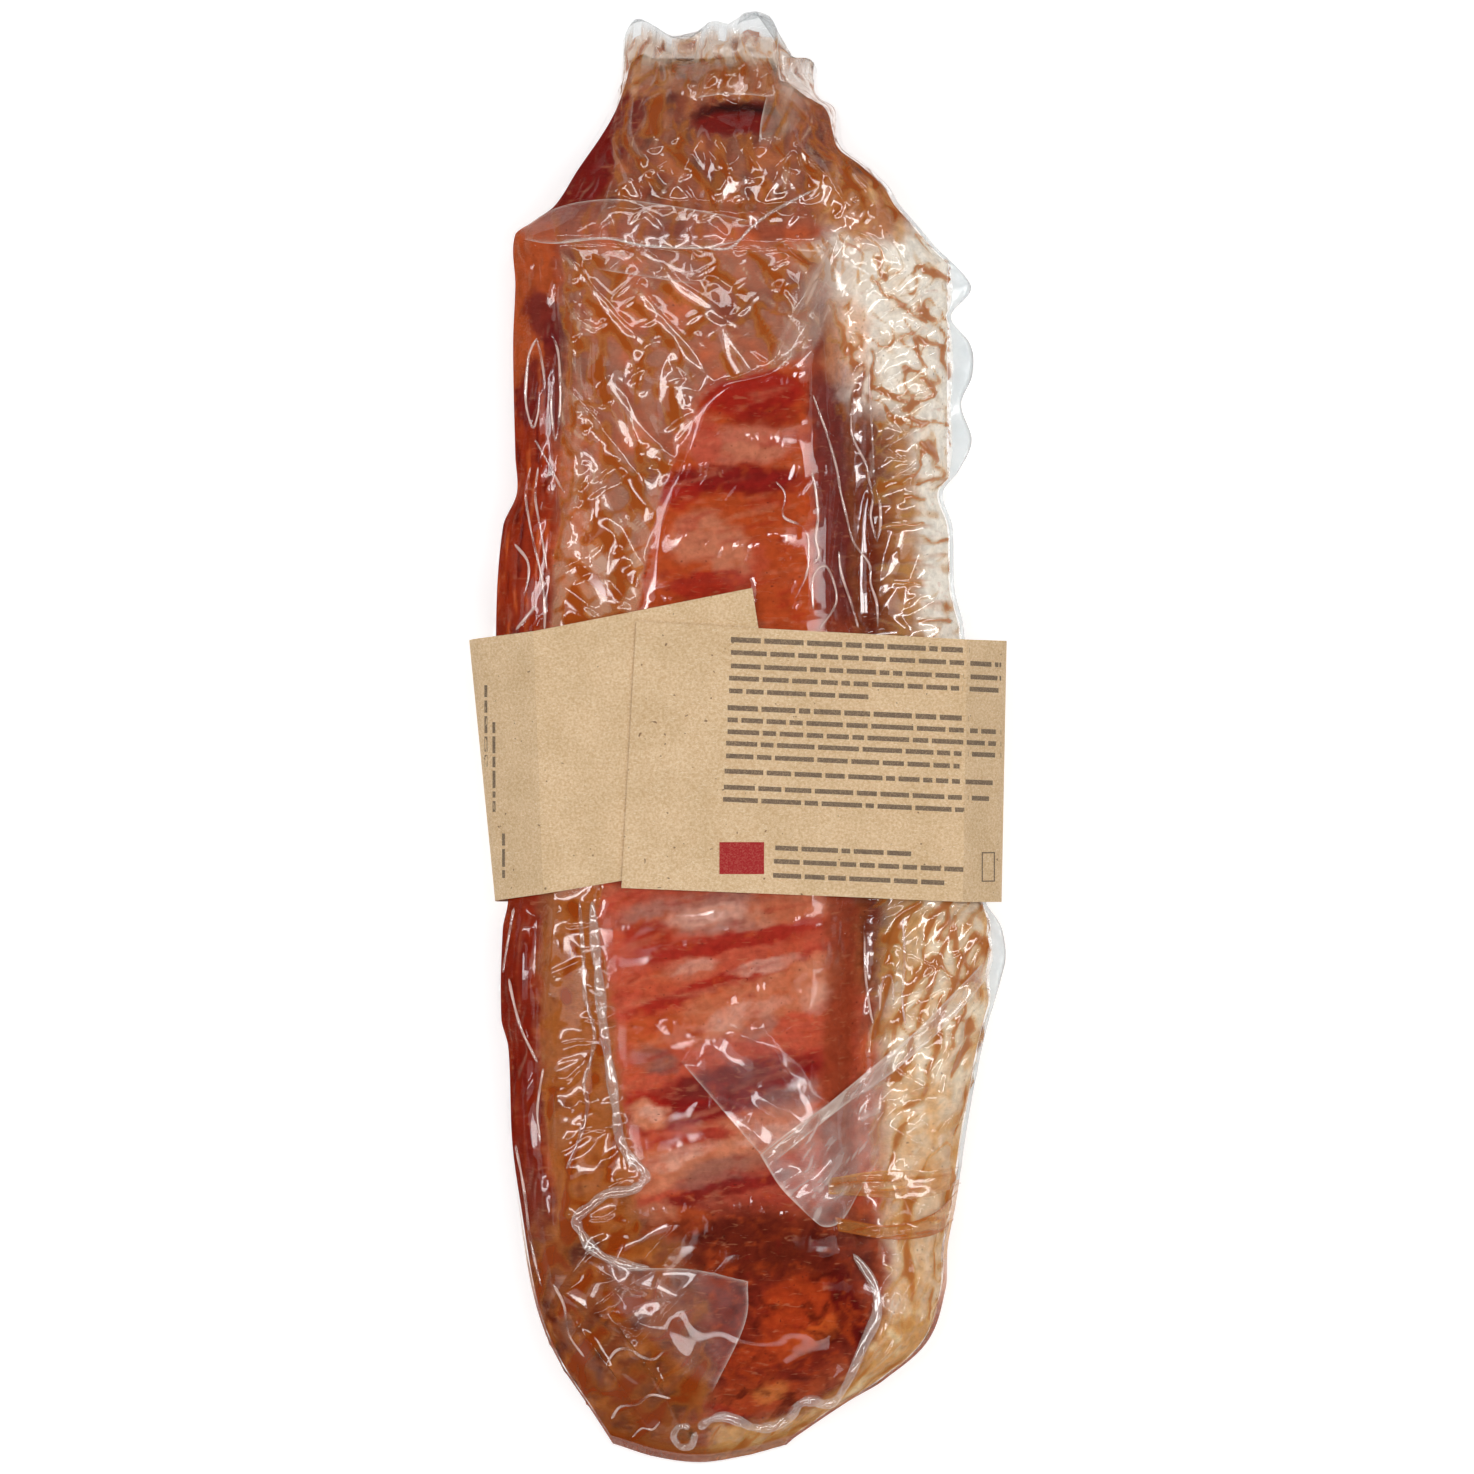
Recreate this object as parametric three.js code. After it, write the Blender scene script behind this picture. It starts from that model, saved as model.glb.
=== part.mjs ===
// A vacuum pack of marinated spareribs in a kraft card sleeve. The pack lies on its front, with the folded
// film of its back and the overlap of the sleeve up. Millimetres, +Z up: X runs across the pack and Y along
// it, to the gathered end. The origin is on the table, under the middle of the pack.

import * as THREE from 'three';

// ---------------------------------------------------------------- driving dimensions

const CROWN = 34;          // height of the rack in its film
const ROLL_HEIGHT = 27;    // height of the film roll along the right side
const SEAM_HEIGHT = 15;    // height of the bag's side seam
const FILM_EDGE = 1.6;     // thickness of the film where the seam stands free
const CARD = 0.5;          // thickness of the sleeve's card
const CLEARANCE = 0.3;     // between the sleeve and what it holds

const FOOT = -192;         // nominal Y of the rounded end, where its last row starts
const HEAD = 184;          // nominal Y of the gathered end
const FOOT_MARGIN = 1.5;   // free film at the rounded end
const HEAD_MARGIN = 4;     // free film at the gathered end

const ROWS = 86;           // steps along the body
const TOP_STEPS = 34;      // steps across the body's upper side
const UNDERSIDE = [0, 0.04, 0.1, 0.2, 0.5, 0.8, 0.9, 0.96, 1];  // steps across its lower side

// The bag's plan, each side as [Y, X] from the rounded end to the gathered one.
const LEFT_SIDE = [
  [-192, -34], [-181, -41], [-170, -48], [-159, -53], [-148, -56], [-130, -59], [-110, -61.8],
  [-84, -62.9], [-76, -64.8], [-52, -64.4], [-44, -63], [0, -65], [30, -66.2], [57, -64.3],
  [66, -60.6], [76, -61], [106, -61.6], [122, -61], [136, -61], [140, -55.5], [144, -50.2],
  [154, -44], [165, -37.4], [170, -34.8], [176, -32], [184, -31],
];
// Three scallops of clear film follow each other on the right, from Y 66 to 130.
const RIGHT_SIDE = [
  [-192, 13], [-180, 30.4], [-175, 38.6], [-164, 51], [-150, 56], [-137, 56.8], [-126, 59],
  [-110, 61.3], [-94, 64], [-78, 67.5], [-66, 71], [-59, 72.4], [-51, 71], [-45, 67.2],
  [-38, 66], [0, 63.5], [30, 61], [40, 58.6], [57, 58],
  [66, 55.4], [72, 59.7], [80, 63.2], [90, 60.4], [98, 63.4], [106, 62.9], [113.7, 57.6],
  [121, 63], [126, 60.2], [132, 54], [138, 48.9], [144, 43.8], [149, 40.8], [155, 34.8],
  [160, 28.9], [166, 27.8], [173, 26.7], [177, 22], [184, 21.6],
];
const FREE_FILM = 1.4;     // width of the free film along both sides
const SCALLOPS = { from: 68, to: 128, body: 57 };  // beside them the body itself ends at this X
const WIDE_FILM = { from: -68, to: -50, extra: 3 };
// The rounded end as [X, Y], and the ruffled seam of the gathered end.
const FOOT_EDGE = [[-34, -192], [-22, -195.6], [-10, -197], [2, -195.2], [14, -192]];
const HEAD_EDGE = [
  [-31, 192], [-24, 195], [-19, 191], [-12, 187.5], [-6, 192.5], [-1, 193.2], [2.5, 196],
  [8.5, 196.3], [11.5, 190.5], [14, 185], [18, 184], [21.6, 181.5],
];
const EDGE_BLEND = 24;     // how far from each end its rows bend to follow the edge

// The right-hand edge of the folded film layer that lies over the rack, as [Y, X].
const FOLD_EDGE = [
  [-116, -27], [-98, -31], [-71, -34], [-45, -37], [40, -26], [64, -21], [83, -13], [94, -6],
  [100, 12], [112, 22], [137, 23],
];
const LEFT_VALLEY = [[-125, -50], [-98, -54], [-57, -54.3], [37, -51.3], [64, -49.4], [118, -49]];
const RIGHT_VALLEY = [[-150, 38], [-110, 34], [-45, 35], [30, 34], [100, 31], [137, 27]];

// How far in from its edges the pillow reaches its full height, above and below.
const ABOVE = { left: 23, right: 15, foot: 34, head: 46 };
const BELOW = { sides: 18, foot: 20, head: 30 };

// Relief of the film and of the meat under it, above or below the smooth pillow.
const RIBS = { from: -128, to: 118, pitch: 27, rise: 1.1, lowTilt: 0.3, highTilt: 0.04 };
const LAYER = { from: -132, to: 132, rise: 1.7 };
const COLLAR = { from: 132.5, to: 142.5, left: -57, right: 24, rise: 2 };
const LIP = { x: -1, y: 177, width: 19, length: 4, rise: 3.2 };
const MOUTH = { x: -1, y: 168.5, width: 11, length: 4, depth: 6.5 };
const PLEATS = { from: 144, to: 176, pitch: 13, rise: 1.5 };
const VALLEYS = { rightWidth: 5, rightDepth: 5, leftWidth: 3, leftDepth: 3 };
const BUNCH = { from: -160, to: -52, left: 36, pitch: 12.5, rise: 2.6 };
const CRINKLE = { from: 66, to: 128, left: 30, pitch: 9, rise: 1.2 };
const FLAP = { from: -160, to: -137, left: -40, right: 1, rise: 2.2 };
const LOOP = { x: -36, y: -126, radius: 10, rise: 2.4 };
const BEAD = { x: 4, y: -151, radius: 34, rise: 2.2 };
const CREASES = { from: -190, to: -158, left: -52, right: -8, pitch: 11, rise: 1.6 };
const PRESSED = 0.25;      // what the sleeve leaves of the relief below it

// The sleeve's card, in the order in which it is wrapped, from the inner end round the pack to the outer
// one. Both ends are wrapped askew, so its upper and lower edges differ. Points on top are [X, Y].
const UPPER_EDGE = {
  y: 25.9, innerEnd: [3.8, 40], leftCrease: [-54.8, 28.4], leftNose: -76, leftFold: -63.5,
  rightFold: 63, rightNose: 75.2, rightCrease: [61.3, 26.2], outerEnd: [-27.3, 31],
};
const LOWER_EDGE = {
  y: -44.6, innerEnd: [14.8, -30.8], leftCrease: [-52.1, -42.1], leftNose: -68.4, leftFold: -57,
  rightFold: 61.5, rightNose: 73.8, rightCrease: [60.2, -44.3], outerEnd: [-31.3, -40.5],
};
const BASE = CARD / 2;     // heights of the card's middle: below the pack,
const NOSE_HEIGHT = 17.5;  // at its sides,
const UNDER_LAYER = 35.25; // at its inner end
const TOP_LAYER = 36.05;   // and at its outer end, which lies on the inner one
const CREASE_DROP = 1.6;   // how much lower than the inner end the right crease is
const STEP_X = [26, 16.5]; // the outer end climbs on to the inner one between these
const WRAP_STEPS = 5;      // steps round each rounded side

// ---------------------------------------------------------------- small functions

const { lerp, smoothstep, clamp } = THREE.MathUtils;

// A smooth curve through [t, value] points.
function through(points) {
  const slope = (i) => {
    const [t0, v0] = points[Math.max(i - 1, 0)];
    const [t1, v1] = points[Math.min(i + 1, points.length - 1)];
    return (v1 - v0) / (t1 - t0);
  };
  return (t) => {
    const last = points.length - 2;
    const next = points.findIndex(([at]) => at > t);
    const i = next < 0 ? last : clamp(next - 1, 0, last);
    const [t0, v0] = points[i];
    const [t1, v1] = points[i + 1];
    const step = t1 - t0;
    const s = clamp((t - t0) / step, 0, 1);
    const s2 = s * s;
    const s3 = s2 * s;
    return (2 * s3 - 3 * s2 + 1) * v0 + (s3 - 2 * s2 + s) * step * slope(i)
      + (3 * s2 - 2 * s3) * v1 + (s3 - s2) * step * slope(i + 1);
  };
}

// 1 between two limits and 0 outside them, with soft ends.
const within = (t, from, to, soft) =>
  smoothstep(t, from - soft, from + soft) * (1 - smoothstep(t, to - soft, to + soft));

const bump = (t, width) => Math.exp(-((t / width) ** 2));
const spot = (x, y, { x: cx, y: cy, width, length }) => bump(x - cx, width) * bump(y - cy, length);

// A sharp crest at each whole number of t, falling to 0 half way between.
const crest = (t) => 1 - Math.abs(Math.sin(Math.PI * t));

// A quarter ellipse: 0 at the edge, 1 from the given width inwards.
const swell = (distance, width) => Math.sqrt(1 - (1 - clamp(distance / width, 0, 1)) ** 2);

// ---------------------------------------------------------------- the bag

const leftSide = through(LEFT_SIDE);
const rightSide = through(RIGHT_SIDE);
const footEdge = through(FOOT_EDGE);
const headEdge = through(HEAD_EDGE);
const foldEdge = through(FOLD_EDGE);
const leftValley = through(LEFT_VALLEY);
const rightValley = through(RIGHT_VALLEY);

const underSleeve = (y) => within(y, LOWER_EDGE.y - 5, UPPER_EDGE.innerEnd[1] + 5, 4);

// The bag's sides, and between them where its filled body starts and ends.
function sides(y) {
  const left = leftSide(y);
  const right = rightSide(y);
  const edge = right - FREE_FILM - WIDE_FILM.extra * within(y, WIDE_FILM.from, WIDE_FILM.to, 5);
  const scalloped = lerp(edge, SCALLOPS.body, within(y, SCALLOPS.from, SCALLOPS.to, 2));
  return { left, right, bodyLeft: left + FREE_FILM, bodyRight: Math.min(edge, scalloped) };
}

// Nominal height of the seam, which comes down to the table at both ends and waves at the gathered one.
function seamHeight(x, y) {
  const ends = Math.min(smoothstep(y, FOOT, FOOT + 34), 1 - smoothstep(y, HEAD - 44, HEAD));
  const ruffle = 2.2 * Math.sin(x / 3) * smoothstep(y, HEAD - 16, HEAD);
  const droop = 1.4 * Math.sin(y / 3.2) * within(y, SCALLOPS.from, SCALLOPS.to, 6) * smoothstep(x, 50, 60);
  return lerp(3.6, SEAM_HEIGHT, ends) + ruffle + droop;
}

// The rack's flat back falls to a roll of film along its right side, with a valley between them.
function crownHeight(x, y) {
  const rackSide = rightValley(y) - 4;
  const rack = lerp(CROWN - 3, CROWN, within(y, -165, 120, 18));
  return lerp(rack, ROLL_HEIGHT, smoothstep(x, rackSide - 11, rackSide + 6));
}

// Ribs and meat that show through the film, running across the rack and askew in its lower half.
function ribs(x, y) {
  const tilt = lerp(RIBS.lowTilt, RIBS.highTilt, smoothstep(y, -60, 30));
  const rack = within(x, foldEdge(y), rightValley(y) - 8, 5) * within(y, RIBS.from, RIBS.to, 8);
  return RIBS.rise * Math.cos((2 * Math.PI * (y - tilt * x)) / RIBS.pitch) * rack;
}

// The folded film layer on the left, the collar that crosses the pack above it, and the lip of the neck.
function folds(x, y) {
  const layer = within(x, leftValley(y) + 2, foldEdge(y), 2.5) * within(y, LAYER.from, LAYER.to, 4);
  const band = within(y, COLLAR.from - 0.02 * x, COLLAR.to - 0.04 * x, 1.6);
  const collar = band * within(x, COLLAR.left, COLLAR.right, 4);
  const pleats = crest((x - 0.5 * y) / PLEATS.pitch) * within(y, PLEATS.from, PLEATS.to, 6);
  return LAYER.rise * layer + COLLAR.rise * collar + PLEATS.rise * pleats
    + LIP.rise * spot(x, y, LIP) - MOUTH.depth * spot(x, y, MOUTH);
}

// Valleys beside the rack, and the gathered film at its right side and lower end.
function gathers(x, y) {
  const right = bump(x - rightValley(y), VALLEYS.rightWidth) * within(y, -140, 128, 10);
  const left = bump(x - leftValley(y), VALLEYS.leftWidth) * within(y, -125, 118, 8);
  const gathered = (band) => within(y, band.from, band.to, 6) * smoothstep(x, band.left, band.left + 10);
  const bunch = crest((y + 0.55 * x) / BUNCH.pitch) * gathered(BUNCH);
  const crinkle = crest((y - 0.6 * x) / CRINKLE.pitch) * gathered(CRINKLE);
  return BUNCH.rise * bunch + CRINKLE.rise * crinkle
    - VALLEYS.rightDepth * right - VALLEYS.leftDepth * left;
}

// The flap of film and its looped fold at the lower left, and the bead of film round the rack's end.
function footFolds(x, y) {
  const flap = within(y - 0.3 * x, FLAP.from, FLAP.to, 4) * within(x, FLAP.left, FLAP.right, 4);
  const ring = (r) => bump(Math.hypot(x - r.x, y - r.y) - r.radius, 3);
  const loop = ring(LOOP) * smoothstep(-x, 30, 36);
  const bead = ring(BEAD) * smoothstep(x - y, 168, 184);
  const corner = within(x, CREASES.left, CREASES.right, 5) * within(y, CREASES.from, CREASES.to, 5);
  const creases = crest((x + 0.7 * y) / CREASES.pitch) * corner;
  return FLAP.rise * flap + LOOP.rise * loop + BEAD.rise * bead + CREASES.rise * creases;
}

// Upper side of the bag. Under the sleeve its relief is pressed flat.
function upperSide(x, y, side) {
  const seam = seamHeight(x, y) + FILM_EDGE / 2;
  const ends = swell(y - FOOT - FOOT_MARGIN, ABOVE.foot) * swell(HEAD - HEAD_MARGIN - y, ABOVE.head);
  const round = swell(x - side.bodyLeft, ABOVE.left) * swell(side.bodyRight - x, ABOVE.right) * ends;
  const relief = (ribs(x, y) + folds(x, y) + gathers(x, y) + footFolds(x, y)) * round;
  const ceiling = lerp(CROWN + 3, UNDER_LAYER - CARD / 2 - 2 * CLEARANCE, underSleeve(y));
  const pressed = relief * lerp(1, PRESSED, underSleeve(y));
  return Math.min(seam + Math.max(crownHeight(x, y) - seam, 0) * round + pressed, ceiling);
}

// Lower side of the bag, flat on the table, or on the sleeve where that passes below.
function lowerSide(x, y, side) {
  const seam = seamHeight(x, y) - FILM_EDGE / 2;
  const ends = swell(y - FOOT - FOOT_MARGIN, BELOW.foot) * swell(HEAD - HEAD_MARGIN - y, BELOW.head);
  const round = swell(x - side.bodyLeft, BELOW.sides) * swell(side.bodyRight - x, BELOW.sides) * ends;
  const onSleeve = (CARD + CLEARANCE) * within(y, LOWER_EDGE.y - 4, UPPER_EDGE.y + 4, 1.5);
  return Math.max(seam * (1 - round), onSleeve);
}

// One ring of points round the bag: over the top from left to right, and back below.
function bagRing(row) {
  const side = sides(row);
  const towardsFoot = 1 - smoothstep(row, FOOT, FOOT + EDGE_BLEND);
  const towardsHead = smoothstep(row, HEAD - EDGE_BLEND, HEAD);
  const place = (x, height) => {
    const bend = (footEdge(x) - FOOT) * towardsFoot + (headEdge(x) - HEAD) * towardsHead;
    return new THREE.Vector3(x, row + bend, height(x, row, side));
  };
  const across = (t) => lerp(side.bodyLeft, side.bodyRight, t - 0.06 * Math.sin(2 * Math.PI * t));
  const body = Array.from({ length: TOP_STEPS + 1 }, (_, i) => across(i / TOP_STEPS));
  const below = UNDERSIDE.map((t) => lerp(side.bodyRight, side.bodyLeft, t));
  return [
    ...[side.left, ...body, side.right].map((x) => place(x, upperSide)),
    ...[side.right, ...below, side.left].map((x) => place(x, lowerSide)),
  ];
}

// ---------------------------------------------------------------- the sleeve

// The card's side wall from a crease on top to the fold below, rounded at its nose.
function sideWall(crease, nose, fold) {
  const from = crease.clone().lerp(nose, 0.65);
  const to = fold.clone().lerp(nose, 0.45);
  const turn = new THREE.QuadraticBezierCurve3(from, nose, to).getPoints(WRAP_STEPS);
  return [crease, ...turn, fold];
}

// Middle line of one edge of the card, from its inner end round the pack to its outer end.
function cardEdge(edge) {
  const at = (x, height, y = edge.y) => new THREE.Vector3(x, y, height);
  const onTop = ([x, y], height) => at(x, height, y);
  const climb = (x, height, share) => at(x, height, lerp(edge.rightCrease[1], edge.outerEnd[1], share));
  const left = sideWall(onTop(edge.leftCrease, UNDER_LAYER), at(edge.leftNose, NOSE_HEIGHT),
    at(edge.leftFold, BASE));
  const right = sideWall(onTop(edge.rightCrease, UNDER_LAYER - CREASE_DROP), at(edge.rightNose, NOSE_HEIGHT),
    at(edge.rightFold, BASE));
  return [
    onTop(edge.innerEnd, UNDER_LAYER),
    ...left,
    ...right.reverse(),
    climb(STEP_X[0], UNDER_LAYER + 0.1, 0.4),
    climb(STEP_X[1], TOP_LAYER, 0.5),
    onTop(edge.outerEnd, TOP_LAYER),
  ];
}

// Points at half the card's thickness to each side of a middle line, measured square to it.
function thicken(line) {
  return line.map((point, i) => {
    const before = line[Math.max(i - 1, 0)];
    const after = line[Math.min(i + 1, line.length - 1)];
    const square = new THREE.Vector3(after.z - before.z, 0, before.x - after.x).setLength(CARD / 2);
    return [point.clone().sub(square), point.clone().add(square)];
  });
}

function sleeveRings() {
  const upper = thicken(cardEdge(UPPER_EDGE));
  const lower = thicken(cardEdge(LOWER_EDGE));
  return upper.map(([inside, outside], i) => [inside, lower[i][0], lower[i][1], outside]);
}

// ---------------------------------------------------------------- solids

// Triangles that close a ring of points, whose first ones, up to a split, face the rest across it.
function capTriangles(size, split) {
  const triangles = [];
  let near = 0;
  let far = size - 1;
  while (near < split - 1 || far > split) {
    const nearShare = (near + 1) / (split - 1);
    const farShare = (size - far) / (size - 1 - split);
    if (near < split - 1 && (nearShare <= farShare || far === split)) {
      triangles.push([near, near + 1, far]);
      near += 1;
    } else {
      triangles.push([near, far - 1, far]);
      far -= 1;
    }
  }
  return triangles;
}

// A closed solid through rings of points.
function loft(rings, split) {
  const size = rings[0].length;
  const index = [];
  for (let i = 0; i + 1 < rings.length; i += 1) {
    for (let k = 0; k < size; k += 1) {
      const a = i * size + k;
      const b = i * size + ((k + 1) % size);
      index.push(a, b, a + size, b, b + size, a + size);
    }
  }
  const end = (rings.length - 1) * size;
  for (const [a, b, c] of capTriangles(size, split)) {
    index.push(a, c, b, end + a, end + b, end + c);
  }
  const geometry = new THREE.BufferGeometry().setFromPoints(rings.flat());
  geometry.setIndex(index);
  geometry.computeVertexNormals();
  return geometry;
}

function part(name, geometry, color, roughness) {
  const material = new THREE.MeshStandardMaterial({ color, roughness, metalness: 0 });
  const mesh = new THREE.Mesh(geometry, material);
  mesh.name = name;
  return mesh;
}

function vacuumBag() {
  const from = FOOT + FOOT_MARGIN;
  const to = HEAD - HEAD_MARGIN;
  const body = Array.from({ length: ROWS + 1 }, (_, i) => lerp(from, to, i / ROWS));
  const rings = [FOOT, ...body, HEAD].map(bagRing);
  return part('vacuum_bag', loft(rings, TOP_STEPS + 3), 0xa8573a, 0.12);
}

function cardSleeve() {
  return part('card_sleeve', loft(sleeveRings(), 2), 0xd9bc95, 0.85);
}

const pack = new THREE.Group();
pack.add(vacuumBag(), cardSleeve());

export default pack;
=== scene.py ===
"""Looks of a vacuum pack of marinated spareribs in a kraft card sleeve, lying with its folded back up.

Forms are worked out in millimetres, in the frame of the solids, and become metres when a mesh is made.
Across the pack is X, along it is Y, and Z is up from the table.
"""

import math

import bpy
import numpy as np
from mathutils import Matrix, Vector
from mathutils.bvhtree import BVHTree


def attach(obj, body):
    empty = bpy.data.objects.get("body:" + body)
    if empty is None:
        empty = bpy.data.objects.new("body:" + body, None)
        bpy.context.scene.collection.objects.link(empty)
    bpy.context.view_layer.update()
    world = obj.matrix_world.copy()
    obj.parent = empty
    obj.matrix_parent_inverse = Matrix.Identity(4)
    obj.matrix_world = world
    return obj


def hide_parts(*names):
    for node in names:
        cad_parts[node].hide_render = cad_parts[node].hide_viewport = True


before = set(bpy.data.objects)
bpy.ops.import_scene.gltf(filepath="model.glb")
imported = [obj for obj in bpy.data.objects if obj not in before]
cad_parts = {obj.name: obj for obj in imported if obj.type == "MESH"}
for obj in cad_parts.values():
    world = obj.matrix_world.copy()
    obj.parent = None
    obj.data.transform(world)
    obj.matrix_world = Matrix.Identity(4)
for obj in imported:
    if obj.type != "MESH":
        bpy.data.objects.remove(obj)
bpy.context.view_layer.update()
MM = 0.001

# ---- the pack's sizes, as in its solids

CROWN = 34.0               # height of the rack in its film
ROLL_HEIGHT = 27.0         # height of the film roll along the right side
SEAM_HEIGHT = 15.0         # height of the bag's side seam
FOOT, HEAD = -192.0, 184.0           # nominal Y of the rounded end and of the gathered end
FOOT_MARGIN, HEAD_MARGIN = 1.5, 4.0  # free film at both ends
EDGE_BLEND = 24.0          # how far from both ends the rows bend to follow their edges
FREE_FILM = (0.5, 1.2)     # width of the free film beside the filled body, left and right
SCALLOPS = (68.0, 128.0, 57.0)       # Y from and to of its wide scallops, and X where the body ends there
WIDE_FILM = (-68.0, -50.0, 3.0)      # Y from and to of its second wide place, and its extra width there
CARD = 0.5                 # thickness of the sleeve's card
SLEEVE_FOOT = -46.0        # Y of the sleeve's lower edge
SLEEVE_RISE = (-54.8, 28.4, 0.198)   # X and Y where its upper edge starts to rise, and the slope
SLEEVE_LEVEL = (3.8, 29.0)           # X from which that edge is level, and its Y

LEFT_SIDE = [
    (-192, -34), (-181, -41), (-170, -48), (-159, -53), (-148, -56), (-130, -59), (-110, -61.8),
    (-84, -62.9), (-76, -64.8), (-52, -64.4), (-44, -63), (0, -65), (30, -66.2), (57, -64.3),
    (66, -60.6), (76, -61), (106, -61.6), (122, -61), (136, -61), (140, -55.5), (144, -50.2),
    (154, -44), (165, -37.4), (170, -34.8), (176, -32), (184, -31),
]
RIGHT_SIDE = [
    (-192, 13), (-180, 30.4), (-175, 38.6), (-164, 51), (-150, 56), (-137, 56.8), (-126, 59),
    (-110, 61.3), (-94, 64), (-78, 67.5), (-66, 71), (-59, 72.4), (-51, 71), (-45, 67.2),
    (-38, 66), (0, 63.5), (30, 61), (40, 58.6), (57, 58),
    (66, 55.4), (72, 59.7), (80, 63.2), (90, 60.4), (98, 63.4), (106, 62.9), (113.7, 57.6),
    (121, 63), (126, 60.2), (132, 54), (138, 48.9), (144, 43.8), (149, 40.8), (155, 34.8),
    (160, 28.9), (166, 27.8), (173, 26.7), (177, 22), (184, 21.6),
]
FOOT_EDGE = [(-34, -192), (-22, -195.6), (-10, -197), (2, -195.2), (14, -192)]
HEAD_EDGE = [
    (-31.6, 186), (-30.8, 190), (-29.7, 192.8), (-27.5, 195.2), (-25.4, 194.7), (-22.1, 193),
    (-18.9, 190.4), (-15.7, 188.2), (-13.5, 187.9), (-11.3, 189), (-10.2, 191.4), (-8.1, 194.1),
    (-5.9, 194.7), (-2.7, 193.9), (-0.4, 193.4), (0.6, 196), (2.7, 196.8), (4.9, 197), (8.1, 196),
    (10.2, 193.6), (11.4, 187), (13.5, 184.7), (18.9, 184.4), (21.1, 182.2), (22, 180.4),
]
FOLD_EDGE = [
    (-116, -27), (-98, -31), (-71, -34), (-45, -37), (40, -26), (64, -21), (83, -13), (94, -6),
    (100, 12), (112, 22), (137, 23),
]
NECK_LINE = [(136, -39), (145, -36), (151, -33.3), (162, -34), (177, -32), (184, -31)]
LEFT_VALLEY = [(-125, -50), (-98, -54), (-57, -54.3), (37, -51.3), (64, -49.4), (118, -49)]
RIGHT_VALLEY = [(-150, 38), (-110, 34), (-45, 35), (30, 34), (100, 31), (137, 27)]

# ---- the film's own fineness

ROW_STEP = 0.6             # between rows of the film where it shows
HIDDEN_ROWS = (-27.0, 23.0, 3.0)     # from, to and step where the sleeve hides it
TOP_STEPS = 215            # across the upper side
MARGIN_STEPS = 5           # across the free film at each side
FLANK_STEPS = 22           # down each lower flank
FLANK_SHARE = 0.24         # of the body's width that each lower flank takes up
SOLE_STEPS = 10            # across the flat underside
FILM_EDGE = 0.5            # the free film's two layers together


# ---- small functions


def lerp(a, b, share):
    return a + (b - a) * share


def smoothstep(t, low, high):
    s = np.clip((t - low) / (high - low), 0, 1)
    return s * s * (3 - 2 * s)


def within(t, low, high, soft):
    """1 between two limits and 0 outside them, with soft ends."""
    return smoothstep(t, low - soft, low + soft) * (1 - smoothstep(t, high - soft, high + soft))


def bump(t, width):
    """1 at zero, falling off smoothly to both sides."""
    return np.exp(-((t / width) ** 2))


def swell(distance, width):
    """A quarter ellipse: 0 at the edge, 1 from the given width inwards."""
    return np.sqrt(1 - (1 - np.clip(distance / width, 0, 1)) ** 2)


def crest(t):
    """Sharp ridges at whole numbers: 1 on them and 0 between."""
    return 1 - np.abs(np.sin(np.pi * t))


def through(points):
    """A smooth curve through (t, value) points."""
    t, value = np.array(points, float).T
    slope = np.gradient(value, t)
    slope[1:-1] = (value[2:] - value[:-2]) / (t[2:] - t[:-2])

    def at(where):
        where = np.clip(where, t[0], t[-1])
        i = np.clip(np.searchsorted(t, where, side="right") - 1, 0, len(t) - 2)
        step = t[i + 1] - t[i]
        s = (where - t[i]) / step
        rest = 1 - s
        return (rest * rest * (1 + 2 * s) * value[i] + rest * rest * s * step * slope[i]
                + s * s * (3 - 2 * s) * value[i + 1] - s * s * rest * step * slope[i + 1])

    return at


def corner_angle(i, j, seed):
    """A repeatable angle for each corner of a grid."""
    h = (i * 374761393 + j * 668265263 + seed * 974634777) & 0xFFFFFFFF
    h = ((h ^ (h >> 13)) * 1274126177) & 0xFFFFFFFF
    return (h ^ (h >> 16)) * (2 * np.pi / 2**32)


def noise(u, v, seed):
    """Smooth noise between about -1 and 1, with features about 1 apart."""
    i, j = np.floor(u).astype(np.int64), np.floor(v).astype(np.int64)
    fu, fv = u - i, v - j
    su, sv = fu**3 * (fu * (fu * 6 - 15) + 10), fv**3 * (fv * (fv * 6 - 15) + 10)

    def pull(di, dj):
        angle = corner_angle(i + di, j + dj, seed)
        return np.cos(angle) * (fu - di) + np.sin(angle) * (fv - dj)

    return 1.5 * lerp(lerp(pull(0, 0), pull(1, 0), su), lerp(pull(0, 1), pull(1, 1), su), sv)


def cloud(u, v, seed, octaves=3):
    """Noise with finer and finer detail."""
    total = sum(noise(u * 2**k, v * 2**k, seed + 17 * k) / 1.8**k for k in range(octaves))
    return total / sum(1 / 1.8**k for k in range(octaves))


def turned(u, v, degrees):
    cos, sin = math.cos(math.radians(degrees)), math.sin(math.radians(degrees))
    return u * cos + v * sin, v * cos - u * sin


def rgb(red, green, blue):
    """A linear colour from the eight-bit numbers of a screen."""
    c = np.array([red, green, blue]) / 255
    return np.where(c <= 0.04045, c / 12.92, ((c + 0.055) / 1.055) ** 2.4)


def filled(shape, colour):
    """An array of one colour, given in the eight-bit numbers of a screen."""
    return np.zeros((*shape, 3)) + rgb(*colour)


def paint(colours, *layers):
    """Lay colours over those that are there, each with its mask."""
    for mask, colour in layers:
        colours += (rgb(*colour) - colours) * mask[..., None]


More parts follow.
